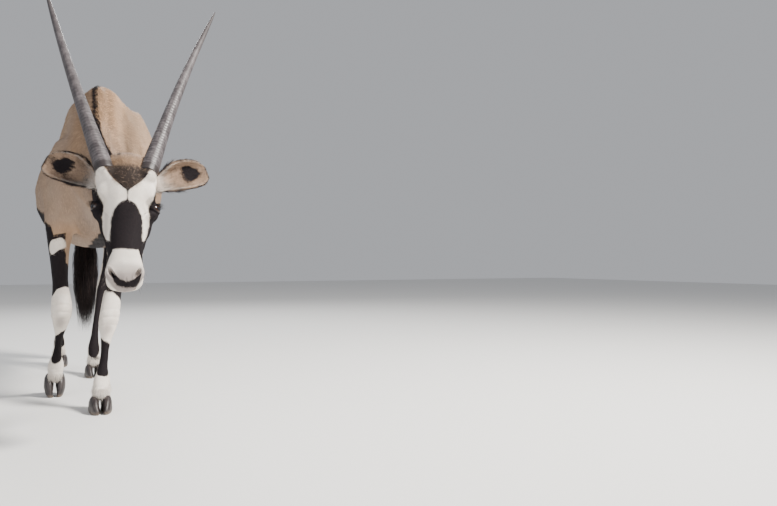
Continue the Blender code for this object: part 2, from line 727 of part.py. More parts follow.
def mane_locks(flesh):
    """Short flat locks that stand on the crest and lean back over one another."""
    draw = random.Random(5)
    made = []
    tree = BVHTree.FromPolygons([v.co for v in flesh.data.vertices], [p.vertices for p in flesh.data.polygons])
    y = MANE_FRONT
    while y < MANE_REAR:
        for side in (-1, 1):
            root_y = y + (0.5 * MANE_STEP if side > 0 else 0.0) + draw.uniform(-0.003, 0.003)
            crest = [tree.ray_cast(Vector((0.004 + side * 0.006, root_y + d, 1.6)), -UP)[0] for d in (0.0, 0.03)]
            back = (crest[1] - crest[0]).normalized()
            rise = Vector((0, -back.z, back.y))
            fade = min(1.0, (y - MANE_FRONT) / 0.06 + 0.55, (MANE_REAR - y) / 0.10 + 0.35)
            tall = MANE_HEIGHT * fade * draw.uniform(0.85, 1.1)
            lean = MANE_LEAN * draw.uniform(0.85, 1.1)
            tilt = Vector((side * 0.30 + draw.uniform(-0.12, 0.12), 0, 0))
            path = []
            for share, height in ((0.0, -0.45), (0.35, 0.35), (0.70, 0.80), (1.0, 1.0)):
                path.append(crest[0] + back * lean * share + (rise + tilt) * tall * height)
            made.append(lock("ManeLock", path, MANE_WIDTH, 0.009, [back] * 3))
        y += MANE_STEP
    return made


def block(name, points):
    """The convex solid round eight or more points."""
    bm = bmesh.new()
    for point in points:
        bm.verts.new(point)
    bmesh.ops.convex_hull(bm, input=list(bm.verts))
    return add_object(name, bm)


def half_space(name, point, normal, shift=0.0):
    """A great box on the far side of a plane."""
    normal = normal.normalized()
    across = Vector((1, 0, 0))
    along = normal.cross(across)
    start = point + normal * shift
    corners = []
    for depth in (0.0, 3.0):
        for u in (-2.0, 2.0):
            for v in (-2.0, 2.0):
                corners.append(start + normal * depth + across * u + along * v)
    return block(name, corners)


# Parting planes and the wedges that hold each leg below its cut
HEAD_PLANE = (Vector((0, -0.470, 0.700)), Vector((0, -0.953, -0.302)))
NECK_PLANE = (Vector((0, -0.150, 0.880)), Vector((0, -0.923, 0.385)))
LEG_WEDGES = {
    "front_right": ((-0.35, -0.085, -0.085), (-0.25, 0.568), (0.33, 0.568)),
    "front_left": ((0.35, 0.022, -0.090), (-0.35, 0.568), (0.085, 0.568)),
    "hind_left": ((0.35, 0.036, -0.055), (0.500, 0.535), (0.990, 0.655)),
    "hind_right": ((-0.35, -0.060, -0.060), (0.740, 0.560), (1.200, 0.680)),
}


def leg_wedge(key, lift):
    (outer, inner_top, inner_low), (y_front, z_front), (y_rear, z_rear) = LEG_WEDGES[key]
    points = []
    for y, z in ((y_front, z_front + lift), (y_rear, z_rear + lift)):
        points += [(outer, y, z), (inner_top, y, z), (outer, y, -0.1), (inner_low, y, -0.1)]
    return block("Wedge", [Vector(p) for p in points])


def build_flesh():
    """Everything covered by one hide, as one closed surface of about BODY_TRIANGLES."""
    limbs = [
        limb_shape(name, rows)
        for name, rows in (
            ("ForeRight", FORE_RIGHT),
            ("ForeLeft", FORE_LEFT),
            ("HindLeft", HIND_LEFT),
            ("HindRight", HIND_RIGHT),
        )
    ]
    body = fuse("BodyForm", [*torso_shape(), *neck_shape(), *muscles(), *limbs], BODY_VOXEL, 9)
    head = fuse("HeadMass", head_forms(), HEAD_VOXEL, 14)
    flesh = fuse("Flesh", [body, head], VOXEL, 4)
    fine = flesh.vertex_groups.new(name="Fine")
    snout = head_point(0, 0.14, 0.09)
    for vert in flesh.data.vertices:
        near = max(0.0, 1.0 - (vert.co - snout).length / 0.25)
        foot = max(0.0, min(0.38, (0.60 - vert.co.z) * 4.0))
        fine.add([vert.index], max(0.05, min(0.52, 1.2 * near), foot), "REPLACE")
    thin = flesh.modifiers.new("Thin", "DECIMATE")
    faces = 2 * len(flesh.data.polygons)
    thin.ratio = BODY_TRIANGLES / faces
    thin.vertex_group = "Fine"
    thin.invert_vertex_group = True
    thin.vertex_group_factor = 3.0
    settle(flesh)
    return combine(flesh, mane_locks(flesh), "UNION")


def copy_of(obj, name):
    made = bpy.data.objects.new(name, obj.data.copy())
    bpy.context.scene.collection.objects.link(made)
    return made


def finish(obj, name, mat):
    obj.name = name
    obj.data.name = name
    obj.data.materials.clear()
    obj.data.materials.append(mat)
    for face in obj.data.polygons:
        face.use_smooth = True
        face.material_index = 0
    obj.data.set_sharp_from_angle(angle=SHARP_ANGLE)


def centre_on_floor():
    """Moves every piece so that the origin is under the middle of the whole animal."""
    corners = [vert.co for obj in bpy.data.objects for vert in obj.data.vertices]
    middle_x = 0.5 * (min(c.x for c in corners) + max(c.x for c in corners))
    middle_y = 0.5 * (min(c.y for c in corners) + max(c.y for c in corners))
    for obj in bpy.data.objects:
        obj.data.transform(Matrix.Translation((-middle_x, -middle_y, 0.0)))
    print("origin moved by", round(-middle_x, 4), round(-middle_y, 4))


def main():
    clear_scene()
    hide = material("Hide", (0.46, 0.36, 0.27), 0.85)
    dark_hair = material("DarkHair", (0.03, 0.025, 0.022), 0.7)
    horn_grey = material("HornGrey", (0.23, 0.20, 0.18), 0.5)
    hoof_dark = material("HoofDark", (0.06, 0.05, 0.045), 0.45)
    eye_dark = material("EyeDark", (0.02, 0.013, 0.010), 0.08)
    flesh = build_flesh()
    eyes = {side: eye_ball("eye_" + side, sign) for side, sign in (("left", 1), ("right", -1))}
    horns = {side: horn("horn_" + side, side) for side in ("left", "right")}
    ears = {side: ear("ear_" + side, side) for side in ("left", "right")}
    tail = tail_shape("tail")
    claws = {}
    for key, (foot, pitch) in FEET.items():
        for side, word in ((1, "left"), (-1, "right")):
            claws[f"hoof_{key}_{word}"] = (key, claw(f"hoof_{key}_{word}", foot, side, pitch))

    head_side = [half_space("HeadSide", *HEAD_PLANE, GAP / 2)]
    head = combine(copy_of(flesh, "head"), head_side, "INTERSECT")
    neck = combine(copy_of(flesh, "neck"), [half_space("NeckSide", *NECK_PLANE, GAP / 2)], "INTERSECT")
    combine(neck, [half_space("HeadSide", *HEAD_PLANE, -GAP / 2)], "DIFFERENCE")
    legs = {}
    for key in LEG_WEDGES:
        legs[key] = combine(copy_of(flesh, "leg_" + key), [leg_wedge(key, -GAP / 2)], "INTERSECT")
    cuts = [half_space("NeckSide", *NECK_PLANE, -GAP / 2), *(leg_wedge(key, GAP / 2) for key in LEG_WEDGES)]
    torso = flesh
    for cut in cuts:
        combine(torso, [cut], "DIFFERENCE")
    combine(torso, [tail_core("TailSeat", GAP)], "DIFFERENCE")
    seats = [grown(piece, GAP) for piece in (*eyes.values(), *horns.values(), *ears.values())]
    for cutter in (*head_cuts(), *seats):
        combine(head, [cutter], "DIFFERENCE")
    for key, piece in claws.values():
        combine(legs[key], [grown(piece, GAP)], "DIFFERENCE")

    finish(head, "head", hide)
    finish(neck, "neck", hide)
    finish(torso, "torso", hide)
    for key, leg in legs.items():
        finish(leg, "leg_" + key, hide)
    for side in ("left", "right"):
        finish(eyes[side], "eye_" + side, eye_dark)
        finish(horns[side], "horn_" + side, horn_grey)
        finish(ears[side], "ear_" + side, hide)
    for name, (key, piece) in claws.items():
        finish(piece, name, hoof_dark)
    finish(tail, "tail", dark_hair)
    centre_on_floor()


if __name__ == "__main__":
    main()
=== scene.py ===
import math
import random

import bmesh
import bpy
import numpy as np
from mathutils import Matrix, Vector
from mathutils.bvhtree import BVHTree


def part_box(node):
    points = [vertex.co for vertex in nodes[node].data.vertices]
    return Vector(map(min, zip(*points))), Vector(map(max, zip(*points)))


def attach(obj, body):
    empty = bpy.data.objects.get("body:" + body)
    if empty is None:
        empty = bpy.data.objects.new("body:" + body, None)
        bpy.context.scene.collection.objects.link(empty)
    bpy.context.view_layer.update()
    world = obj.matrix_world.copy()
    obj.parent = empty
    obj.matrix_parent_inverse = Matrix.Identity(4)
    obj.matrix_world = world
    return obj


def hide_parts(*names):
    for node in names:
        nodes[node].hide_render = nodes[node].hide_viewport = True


# A gemsbok in mid step: one skin, its coat in tufts, and the eyes, horns, ears, hooves, mane and tail
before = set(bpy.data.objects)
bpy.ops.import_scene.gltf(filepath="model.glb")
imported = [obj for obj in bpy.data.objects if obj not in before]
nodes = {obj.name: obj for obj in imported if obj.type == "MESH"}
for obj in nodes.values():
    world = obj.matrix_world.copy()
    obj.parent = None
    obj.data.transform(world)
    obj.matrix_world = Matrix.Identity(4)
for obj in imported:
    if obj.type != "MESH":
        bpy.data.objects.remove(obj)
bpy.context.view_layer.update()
scene = bpy.context.scene
sides = ("left", "right")
fleshNodes = ["head", "neck", "torso", "leg_front_left", "leg_front_right", "leg_hind_left", "leg_hind_right"]

# the head's own measures: across (towards its left), down the face, and back from it
headSettings = {"tilt": 16.0, "yaw": -5.5, "roll": 0.8, "eye": (0.0700, 0.116, 0.057), "eyeRadius": 0.0195,
                "origin": (0.0108, -0.612, 0.770)}
headTurn = (Matrix.Rotation(math.radians(headSettings["yaw"]), 3, "Z")
            @ Matrix.Rotation(-math.radians(headSettings["tilt"]), 3, "X")
            @ Matrix.Rotation(math.radians(headSettings["roll"]), 3, "Y"))
headAxes = np.array(headTurn)


def middleOf(node):
    low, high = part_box(node)
    return (low + high) / 2


eyesMiddle = (middleOf("eye_left") + middleOf("eye_right")) / 2
headOrigin = eyesMiddle - headTurn @ Vector((0, headSettings["eye"][2], -headSettings["eye"][1]))
bodyShift = np.array(headOrigin - Vector(headSettings["origin"]))
bodyShift[2] = 0.0
print("body set off by", bodyShift.round(4))


def headPoint(side, along, deep):
    return headOrigin + headTurn @ Vector((side, deep, -along))


def headDirection(side, along, deep):
    return (headTurn @ Vector((side, deep, -along))).normalized()


def headPoints(local):
    # rows of side, along, deep to places
    return np.column_stack((local[:, 0], local[:, 2], -local[:, 1])) @ headAxes.T + np.array(headOrigin)


def toHead(points):
    # places to rows of side, along, deep
    local = (points - np.array(headOrigin)) @ headAxes
    return np.column_stack((local[:, 0], -local[:, 2], local[:, 1]))


def fromHeadTurn(vectors):
    return np.column_stack((vectors[:, 0], vectors[:, 2], -vectors[:, 1])) @ headAxes.T


def unit(vectors):
    return vectors / np.maximum(np.linalg.norm(vectors, axis=1, keepdims=True), 1e-9)


def ease(value, low, high):
    t = np.clip((value - low) / (high - low), 0, 1)
    return t * t * (3 - 2 * t)


def table(value, pairs):
    xs, ys = zip(*pairs)
    return np.interp(value, xs, ys)


def bump(value, middle, width):
    return np.exp(-((value - middle) / width) ** 2)


def least(*values):
    return np.minimum.reduce(np.broadcast_arrays(*values))


def greatest(*values):
    return np.maximum.reduce(np.broadcast_arrays(*values))


def toLine(points, line):
    # distance from flat points to a line of corners
    best = np.full(len(points), 1e9)
    for a, b in zip(line, line[1:]):
        a, b = np.array(a), np.array(b)
        run = b - a
        t = np.clip(((points - a) @ run) / (run @ run), 0, 1)
        best = np.minimum(best, np.linalg.norm(points - a - t[:, None] * run, axis=1))
    return best


rippleSettings = {"waves": 24, "turn": 6.283, "slow": 0.6, "fast": 1.3, "height": 5.0}
waves = np.random.default_rng(3).normal(size=(rippleSettings["waves"], 3))
phases = np.random.default_rng(4).uniform(0, rippleSettings["turn"], rippleSettings["waves"])


def ripple(points, size):
    # smooth seeded noise of about -1 to 1, with lumps of this size
    s = rippleSettings
    turned = points @ unit(waves).T * (s["turn"] / size) * np.linspace(s["slow"], s["fast"], s["waves"]) + phases
    return np.sin(turned).sum(1) / s["height"]


# legs: height, across, along, half width, front and back depth down each
legs = {
    "frontRight": ((0.670, -0.142, 0.000, 0.054, 0.080, 0.098), (0.590, -0.143, 0.020, 0.044, 0.060, 0.074),
                   (0.510, -0.141, 0.038, 0.034, 0.045, 0.049), (0.420, -0.137, 0.060, 0.0295, 0.036, 0.035),
                   (0.365, -0.133, 0.074, 0.036, 0.039, 0.035), (0.322, -0.132, 0.086, 0.040, 0.041, 0.038),
                   (0.282, -0.134, 0.102, 0.032, 0.031, 0.035), (0.232, -0.138, 0.130, 0.0195, 0.021, 0.027),
                   (0.180, -0.142, 0.160, 0.0185, 0.020, 0.026), (0.138, -0.146, 0.186, 0.0255, 0.025, 0.031),
                   (0.112, -0.147, 0.201, 0.0330, 0.030, 0.034), (0.060, -0.150, 0.206, 0.0280, 0.026, 0.027)),
    "frontLeft": ((0.670, 0.108, -0.030, 0.056, 0.080, 0.098), (0.590, 0.088, -0.025, 0.045, 0.060, 0.074),
                  (0.510, 0.062, -0.035, 0.035, 0.045, 0.049), (0.420, 0.033, -0.058, 0.0300, 0.036, 0.035),
                  (0.357, 0.017, -0.072, 0.036, 0.039, 0.035), (0.312, 0.010, -0.082, 0.0395, 0.041, 0.038),
                  (0.268, 0.005, -0.089, 0.032, 0.031, 0.035), (0.217, -0.001, -0.097, 0.0200, 0.021, 0.027),
                  (0.160, -0.007, -0.105, 0.0190, 0.020, 0.026), (0.118, -0.012, -0.113, 0.0255, 0.025, 0.031),
                  (0.092, -0.014, -0.122, 0.0320, 0.029, 0.034), (0.044, -0.020, -0.156, 0.0285, 0.027, 0.029)),
    "hindLeft": ((0.740, 0.115, 0.830, 0.076, 0.145, 0.185), (0.650, 0.112, 0.790, 0.063, 0.115, 0.152),
                 (0.560, 0.098, 0.776, 0.046, 0.076, 0.098), (0.480, 0.078, 0.784, 0.032, 0.044, 0.052),
                 (0.420, 0.062, 0.780, 0.0300, 0.037, 0.046), (0.372, 0.050, 0.762, 0.0290, 0.034, 0.040),
                 (0.310, 0.036, 0.732, 0.0210, 0.024, 0.028), (0.230, 0.022, 0.704, 0.0190, 0.021, 0.026),
                 (0.165, 0.014, 0.682, 0.0210, 0.023, 0.028), (0.122, 0.011, 0.668, 0.0290, 0.029, 0.032),
                 (0.090, 0.010, 0.650, 0.0285, 0.029, 0.030), (0.044, 0.008, 0.616, 0.0285, 0.027, 0.029)),
    "hindRight": ((0.740, -0.116, 0.890, 0.076, 0.145, 0.184), (0.650, -0.121, 0.890, 0.063, 0.120, 0.150),
                  (0.560, -0.124, 0.918, 0.046, 0.078, 0.096), (0.480, -0.124, 0.965, 0.032, 0.044, 0.052),
                  (0.425, -0.123, 0.995, 0.0300, 0.037, 0.046), (0.372, -0.122, 1.008, 0.0290, 0.034, 0.040),
                  (0.300, -0.121, 1.020, 0.0210, 0.024, 0.028), (0.220, -0.120, 1.036, 0.0190, 0.021, 0.026),
                  (0.155, -0.119, 1.050, 0.0210, 0.023, 0.028), (0.115, -0.118, 1.056, 0.0290, 0.029, 0.032),
                  (0.088, -0.118, 1.044, 0.0285, 0.029, 0.030), (0.044, -0.118, 1.010, 0.0285, 0.027, 0.029)),
}


def legMeasures(body, name):
    # how far out from the leg's middle (1 at its surface), the turn round it (0 in front), and its outer side
    rows = np.array(legs[name][::-1])
    at = [np.interp(body[:, 2], rows[:, 0], rows[:, k]) for k in range(1, 6)]
    dx, dy = body[:, 0] - at[0], body[:, 1] - at[1]
    depth = np.where(dy < 0, at[3], at[4])
    reach = np.hypot(dx / at[2], dy / depth)
    outer = dx * (1 if name.endswith("Left") else -1)
    turn = np.arctan2(outer, -dy)
    return reach, turn, at


def partsOf(points):
    # 0 torso, 1 head, 2 neck, 3 to 6 the legs
    body = points - bodyShift
    part = np.zeros(len(points), int)
    aheadOfNeck = (body - (0, -0.150, 0.880)) @ np.array((0, -0.923, 0.385)) > 0
    aheadOfHead = (body - (0, -0.470, 0.700)) @ np.array((0, -0.953, -0.302)) > 0
    for k, name in enumerate(legs):
        reach, _, _ = legMeasures(body, name)
        top = 0.66 if "front" in name else 0.70
        part[(body[:, 2] < top) & (reach < 1.5) & ~aheadOfHead] = 3 + k
    free = part == 0
    part[free & aheadOfNeck] = 2
    part[aheadOfHead & (body[:, 2] > 0.35)] = 1
    return part, body


headProfile = {
    "front": ((-0.04, 0.052), (-0.006, 0.004), (0.03, -0.006), (0.11, -0.006), (0.19, 0.0), (0.31, -0.004),
              (0.333, 0.003), (0.358, 0.028)),
    "back": ((-0.04, 0.12), (0.03, 0.188), (0.11, 0.201), (0.19, 0.166), (0.255, 0.124), (0.31, 0.106), (0.358, 0.066)),
    "half": ((-0.04, 0.032), (-0.006, 0.069), (0.07, 0.080), (0.11, 0.076), (0.15, 0.066), (0.19, 0.0585),
             (0.255, 0.0465), (0.31, 0.049), (0.333, 0.043), (0.358, 0.016)),
}


def roundHead(local):
    # the turn round the head's long axis, 0 at the face's middle and 180 at the throat, in degrees
    front, back, half = (table(local[:, 1], headProfile[key]) for key in ("front", "back", "half"))
    middle = front + 0.42 * (back - front)
    depth = np.where(local[:, 2] < middle, middle - front, back - middle)
    return np.degrees(np.arctan2(np.abs(local[:, 0] - 0.002) / half, (middle - local[:, 2]) / depth))


# markings: how far inside each marking a place lies, in metres, for skin and tufts alike
# tables down the face: half widths of the heart and the blaze, the eye stripe's edges in degrees, the nose's across
faceSettings = {
    "middle": 0.003, "degree": 0.0011,
    "heart": ((-0.02, 0.066), (0.014, 0.062), (0.030, 0.053), (0.044, 0.042), (0.058, 0.031), (0.070, 0.018),
              (0.084, 0.002), (0.09, -0.02)),
    "blaze": ((0.108, -0.004), (0.114, 0.012), (0.121, 0.021), (0.133, 0.030), (0.150, 0.038), (0.170, 0.0415),
              (0.240, 0.0420), (0.262, 0.038)),
    "inner": ((0.0, 70), (0.03, 62), (0.06, 56), (0.10, 53), (0.124, 52), (0.147, 60), (0.170, 69), (0.197, 71),
              (0.213, 66), (0.226, 46), (0.236, 36), (0.252, 44), (0.270, 56), (0.288, 68)),
    "outer": ((-0.02, 88), (0.03, 92), (0.08, 96), (0.12, 104), (0.15, 106), (0.18, 101), (0.21, 95), (0.25, 86),
              (0.275, 77), (0.288, 68)),
    "toEar": [(0.085, 0.052), (0.060, 0.070), (0.045, 0.085)],
    "strap": [(0.01, 0.115), (0.05, 0.135), (0.085, 0.165), (0.10, 0.21)],
    "noseTop": ((-0.0345, 0.306), (-0.030, 0.310), (-0.0225, 0.3185), (-0.0115, 0.3285), (0.004, 0.3345),
                (0.020, 0.3300), (0.033, 0.3190), (0.041, 0.3100), (0.0450, 0.306)),
    "noseEnd": ((-0.0345, 0.308), (-0.031, 0.320), (-0.027, 0.335), (-0.020, 0.344), (-0.008, 0.350), (0.006, 0.352),
                (0.019, 0.350), (0.030, 0.343), (0.0365, 0.334), (0.041, 0.320), (0.0450, 0.308)),
}


def headMarks(local):
    s = faceSettings
    side, along, deep = local.T
    away = np.abs(side - s["middle"])
    turn = roundHead(local)
    degree = s["degree"]
    heart = least(table(along, s["heart"]) - away, 0.05)
    blaze = least(table(along, s["blaze"]) - away, along - 0.110, 0.249 - along, 0.03 - deep)
    line = least(0.0032 - away, along - 0.078, 0.122 - along)
    inner, outer = table(along, s["inner"]), table(along, s["outer"])
    # the eye stripe draws in above the eye to a thin line towards the ear's root
    stripe = least((turn - inner) * degree, (outer - turn) * degree, 0.290 - along, along - 0.070)
    flatSide = np.column_stack((along, deep))
    stripe = np.maximum(stripe, np.where(turn > 60, 0.0052 - toLine(flatSide, s["toEar"]), -0.02))
    strap = least(0.017 - toLine(flatSide, s["strap"]), (turn - 85) * degree)
    throat = least((turn - 158) * degree, 0.12 - along)
    # the nose's bare crescent, from nostril to nostril under the pale dome
    noseEnd = table(side, s["noseEnd"])
    nose = least(along - table(side, s["noseTop"]), noseEnd - along)
    nose = np.where((deep < 0.045) & (side > -0.0345) & (side < 0.0450), nose, -0.02)
    heartEdge = np.where(along > 0.028, 0.0030 - np.abs(heart - 0.0035), -0.02)
    dark = greatest(blaze, line, stripe, strap, throat, nose, heartEdge)
    cheekWhite = least((turn - outer) * degree + 0.006, 0.30, along - 0.075)
    pale = least(np.where(along < 0.085, 96, inner + 6) - turn, 60) * degree
    pale = least(pale, greatest(-heart, along - 0.08))
    pale = least(greatest(pale, cheekWhite, along - 0.245), along - 0.004 + 0.5 * away)
    grey = ease(along, 0.278, 0.300) * (1 - ease(turn, 60, 85)) * (0.62 + 0.38 * ease(along, 0.300, 0.322))
    # painted shade: a grey band down the white beside the blaze, below each eye, where the face's bones shade it
    grey = np.maximum(grey, 0.45 * bump(away, 0.054, 0.006) * ease(along, 0.13, 0.15) * (1 - ease(along, 0.20, 0.215)))
    lip = ease(along, noseEnd - 0.0010, noseEnd + 0.0010) * (1 - ease(np.abs(side - 0.004), 0.021, 0.029))
    lip = lip * (deep < 0.05)
    pale = np.where(lip > 0.5, -0.01, pale)
    warm = np.maximum(lip, 0.25 + 0.6 * ease(heart, 0.0, 0.02) * (1 - ease(along, 0.0, 0.02)))
    grizzle = ease(heart, -0.004, 0.006) * (0.55 + 0.45 * ease(along, -0.005, 0.018))
    return dark, pale, warm, grey, np.maximum(grizzle, 0.42 * lip)


bodySettings = {
    "crest": ((-0.50, -0.006), (-0.43, -0.0245), (-0.34, -0.038), (-0.23, -0.039), (-0.12, -0.033), (-0.04, -0.025),
              (0.05, -0.014), (0.20, 0.0)),
    "spineHalf": ((-0.50, 0.0056), (-0.20, 0.0060), (0.01, 0.0066), (0.08, 0.014), (0.2, 0.014), (0.7, 0.012),
                  (0.84, 0.018), (0.92, 0.038), (1.00, 0.052), (1.08, 0.050), (1.12, 0.040)),
    "flank": [(-0.045, 0.560), (-0.020, 0.598), (0.045, 0.624), (0.20, 0.643), (0.35, 0.660), (0.50, 0.684),
              (0.62, 0.696), (0.74, 0.690), (0.790, 0.655)],
    "flankHalf": 0.034,
    "chestHalf": ((0.57, 0.024), (0.605, 0.014), (0.630, 0.009), (0.660, 0.006), (0.72, 0.0055), (0.80, 0.005)),
}


def crestLine(y):
    return table(y, bodySettings["crest"])


def spineHalf(y):
    return table(y, bodySettings["spineHalf"])


def bodyMarks(body, normals, part):
    s = bodySettings
    x, y, z = body.T
    wide = np.abs(x)
    across = x - crestLine(y)
    up = normals[:, 2]
    spine = least((spineHalf(y) - np.abs(across)) * (1 + 1.5 * (y < 0.3)), 0.05 + 0.12 * up)
    dock = least(0.040 - wide, y - 1.000, z - 0.955)
    spine = np.where(y > 0.6, least(spine, (z - 1.005) * 0.8), spine)
    spine = np.where((up > 0.0) | (y > 0.95), np.maximum(spine, dock), -0.05)
    wander = 0.006 * ripple(body, 0.16)
    flank = s["flankHalf"] + 0.35 * wander - toLine(np.column_stack((y, z)), s["flank"])
    # at the elbow it keeps to the outer side
    outward = normals[:, 0] * np.sign(x)
    flank = flank - 0.09 * (1 - ease(y, 0.03, 0.11)) * (1 - ease(outward, 0.42, 0.88))
    flank = np.where(wide > 0.05, flank, -0.05)
    # it widens down the front of the thigh, over the stifle
    stifle = 1 - np.hypot((y - 0.780) / 0.085, (z - 0.660) / 0.085)
    flank = np.maximum(flank, np.where(wide > 0.06, 0.06 * stifle + wander, -0.05))
    belly = least(table(y, s["flank"]) - 0.018 - z, 0.5 * (0.80 - y), 0.25 * (y - 0.47) + wander)
    groin = least(0.050 - wide, 0.35 * (0.85 - z)) + wander
    belly = np.maximum(belly, least(np.where((y > 0.60) & (y < 1.02), groin, -0.05), 0.02))
    # the brisket's dark line, broad between the forelegs and thin up the throat
    chest = table(z, s["chestHalf"]) - np.abs(x + 0.004) + 0.15 * wander
    chest = np.where(y > 0.02, least(0.64 - z, (-up - 0.72) * 0.10, 0.030 - wide + wander), chest)
    chest = np.where((up < 0.15) & (y < 0.56), least(chest, 0.30 * (0.52 - y) + wander), -0.05)
    # a lighter, warmer band beside the crest's stripe, and a painted highlight past it: a pale streak down the neck's
    # upper side, where light falls
    beside = bump(across, spineHalf(y) + 0.020, 0.020) * ease(up, 0.0, 0.4)
    streak = bump(across, spineHalf(y) + 0.062, 0.018) * ease(up, 0.0, 0.3) * (1 - ease(y, 0.05, 0.30))
    warm = 0.30 + 0.70 * beside * (1 - 0.8 * ease(y, 0.3, 0.7)) + 0.15 * (part == 2) + 0.12 * ripple(body, 0.27)
    # the painted highlight pales the coat there by taking away grizzle
    grizzle = 0.20 + 0.35 * beside * (1 - 0.9 * ease(y, 0.2, 0.5)) + 0.30 * bump(y, -0.50, 0.07) - 0.20 * streak
    grey = 0.16 * (1 - ease(z, 0.74, 0.95)) + 0.08 * ripple(body, 0.21)
    return greatest(spine, flank, chest), belly, np.clip(warm, 0, 1), np.clip(grey, 0, 1), np.clip(grizzle, 0, 1)


# where each foreleg's pattern starts, and how high the fawn inside it reaches down
forelegSettings = {"frontRight": {"lower": 0.0, "inside": 0.500, "oval": 0.0},
                   "frontLeft": {"lower": -0.016, "inside": 0.560, "oval": 0.010}}
hindStrip = ((0.10, 1.25), (0.30, 1.20), (0.42, 0.85), (0.50, 1.1))


def foreMarks(z, turn, half, s):
    front = np.abs(turn)
    # the garter: closed round the forearm low down, open to the fawn inside higher up, with its pale patch in front
    low = z - 0.392 + 0.020 * np.sin(turn) - 0.012 * np.cos(turn) ** 2
    inside = (1.25 + 0.18 * ease(z, 0.515, 0.540) - np.abs(turn + 1.80)) * half
    inside = least(inside, z - s["inside"] - 0.010 * np.sin(turn))
    leaning = (turn - 0.30) * half + 0.45 * (z - 0.552)
    oval = 0.024 * (1 - (np.abs(leaning / 0.0265) ** 1.5 + np.abs((z - 0.553) / 0.0270) ** 1.5)) - s["oval"]
    garter = least(0.592 - z, low, -inside, -oval)
    patch = least(z - 0.128 - 0.010 * front ** 2, 0.246 - z - 0.012 * np.sin(turn), (1.55 - front) * half)
    callus = 0.015 * (1 - np.hypot(turn * half / 0.019, (z - 0.286) / 0.025))
    grey = 0.5 * (1 - ease(z, 0.050, 0.085)) + 0.15 * bump(z, 0.10, 0.03) * ease(front, 1.3, 2.2)
    grey = np.maximum(grey, 0.62 * ease(callus, -0.006, 0.012))
    return np.maximum(garter, patch), np.maximum(0.45 - z, oval + 0.004), 0.35, grey


def hindMarks(z, turn, half):
    front = np.abs(turn)
    garter = least(z - 0.490 - 0.020 * np.cos(turn - 0.5), (1.75 - np.abs(turn - 0.30)) * half * 1.1, 0.75 - z)
    patch = least(z - 0.080 - 0.012 * front ** 2, (table(z, hindStrip) - front) * half, 0.60 - z)
    pale = 0.520 - z + 0.030 * np.cos(turn - 0.5)
    pale = np.maximum(pale, least((1.1 - np.abs(turn + 1.7)) * half, 0.80 - z))
    grey = 0.5 * (1 - ease(z, 0.050, 0.075)) + 0.2 * bump(z, 0.43, 0.03) * ease(front, 2.0, 2.8)
    return np.maximum(garter, patch), pale, 0.30, grey


def legMarks(body, name):
    _, turn, at = legMeasures(body, name)
    if "front" in name:
        s = forelegSettings[name]
        z = body[:, 2] - s["lower"] + 0.005 * ripple(body, 0.055)
        dark, pale, warm, grey = foreMarks(z, turn, at[2], s)
    else:
        z = body[:, 2] + 0.006 * ripple(body, 0.07)
        dark, pale, warm, grey = hindMarks(z, turn, at[2])
    return dark, pale, np.clip(warm + 0.2 * ease(z, 0.5, 0.62), 0, 1), np.clip(grey, 0, 1), np.full(len(z), 0.1)


def markings(points, normals):
    part, body = partsOf(points)
    values = np.zeros((5, len(points)))
    trunk = (part == 0) | (part == 2)
    values[:, trunk] = bodyMarks(body[trunk], normals[trunk], part[trunk])
    mine = part == 1
    if mine.any():
        local = toHead(points[mine])
        # the neck's stripe starts at the poll
        poll = ease(body[mine][:, 2], 0.775, 0.80) * ease(-local[:, 1], -0.02, 0.02)
        marks = bodyMarks(body[mine], normals[mine], part[mine])
        values[:, mine] = np.array(headMarks(local)) * (1 - poll) + np.array(marks) * poll
    for k, name in enumerate(legs):
        mine = part == 3 + k
        if mine.any():
            low = np.array(legMarks(body[mine], name))
            high = np.array(bodyMarks(body[mine], normals[mine], part[mine]))
            height = -body[mine][:, 2]
            fore = "front" in name
            share = ease(height, -0.650, -0.600) if fore else ease(height, -0.700, -0.640)
            fade = ease(height, -0.600, -0.560) if fore else share
            values[:, mine] = low * share + high * (1 - share)
            values[0, mine] = np.maximum(low[0] - 0.06 * (1 - share), high[0] - 0.06 * fade ** 2)
            values[1, mine] = np.maximum(low[1] - 0.06 * (1 - share), high[1] - 0.06 * share)
    return dict(zip(("dark", "pale", "warm", "grey", "grizzle"), values)), part


# an unwrap of the skin's own shape: a strip round each part
nearTurn = 6.2832


def unwrap(points, part):
    body = points - bodyShift
    local = toHead(points)
    uv = np.zeros((len(points), 2))

    def strip(mine, left, wide, turn, low, tall, share):
        placed = np.column_stack((left + wide * (turn / nearTurn + 0.5), low + tall * np.clip(share, 0, 1)))
        uv[mine] = placed[mine]

    strip(part == 1, 0.02, 0.30, np.arctan2(local[:, 0], 0.075 - local[:, 2]), 0.66, 0.32, (local[:, 1] + 0.15) / 0.53)
    aroundBody = np.arctan2(body[:, 0], body[:, 2] - 0.80)
    strip(part == 2, 0.36, 0.30, aroundBody, 0.66, 0.32, (body[:, 1] + 0.56) / 0.62)
    strip(part == 0, 0.02, 0.64, aroundBody, 0.02, 0.60, (body[:, 1] + 0.35) / 1.50)
    for k, name in enumerate(legs):
        turn = legMeasures(body, name)[1]
        strip(part == 3 + k, 0.70 + 0.145 * (k % 2), 0.135, turn, 0.02 + 0.49 * (k // 2), 0.46, body[:, 2] / 0.72)
    return uv


def addObject(name, mesh):
    made = bpy.data.objects.new(name, mesh)
    scene.collection.objects.link(made)
    return made


def meshOf(bm, name):
    mesh = bpy.data.meshes.new(name)
    bm.to_mesh(mesh)
    bm.free()
    return mesh


def readRows(items, field, wide, kind):
    found = np.empty(len(items) * wide, kind)
    items.foreach_get(field, found)
    return found.reshape(-1, wide)


def placesOf(mesh):
    return readRows(mesh.vertices, "co", 3, np.float32).astype(float)


def normalsOf(mesh):
    return readRows(mesh.vertex_normals, "vector", 3, np.float32).astype(float)


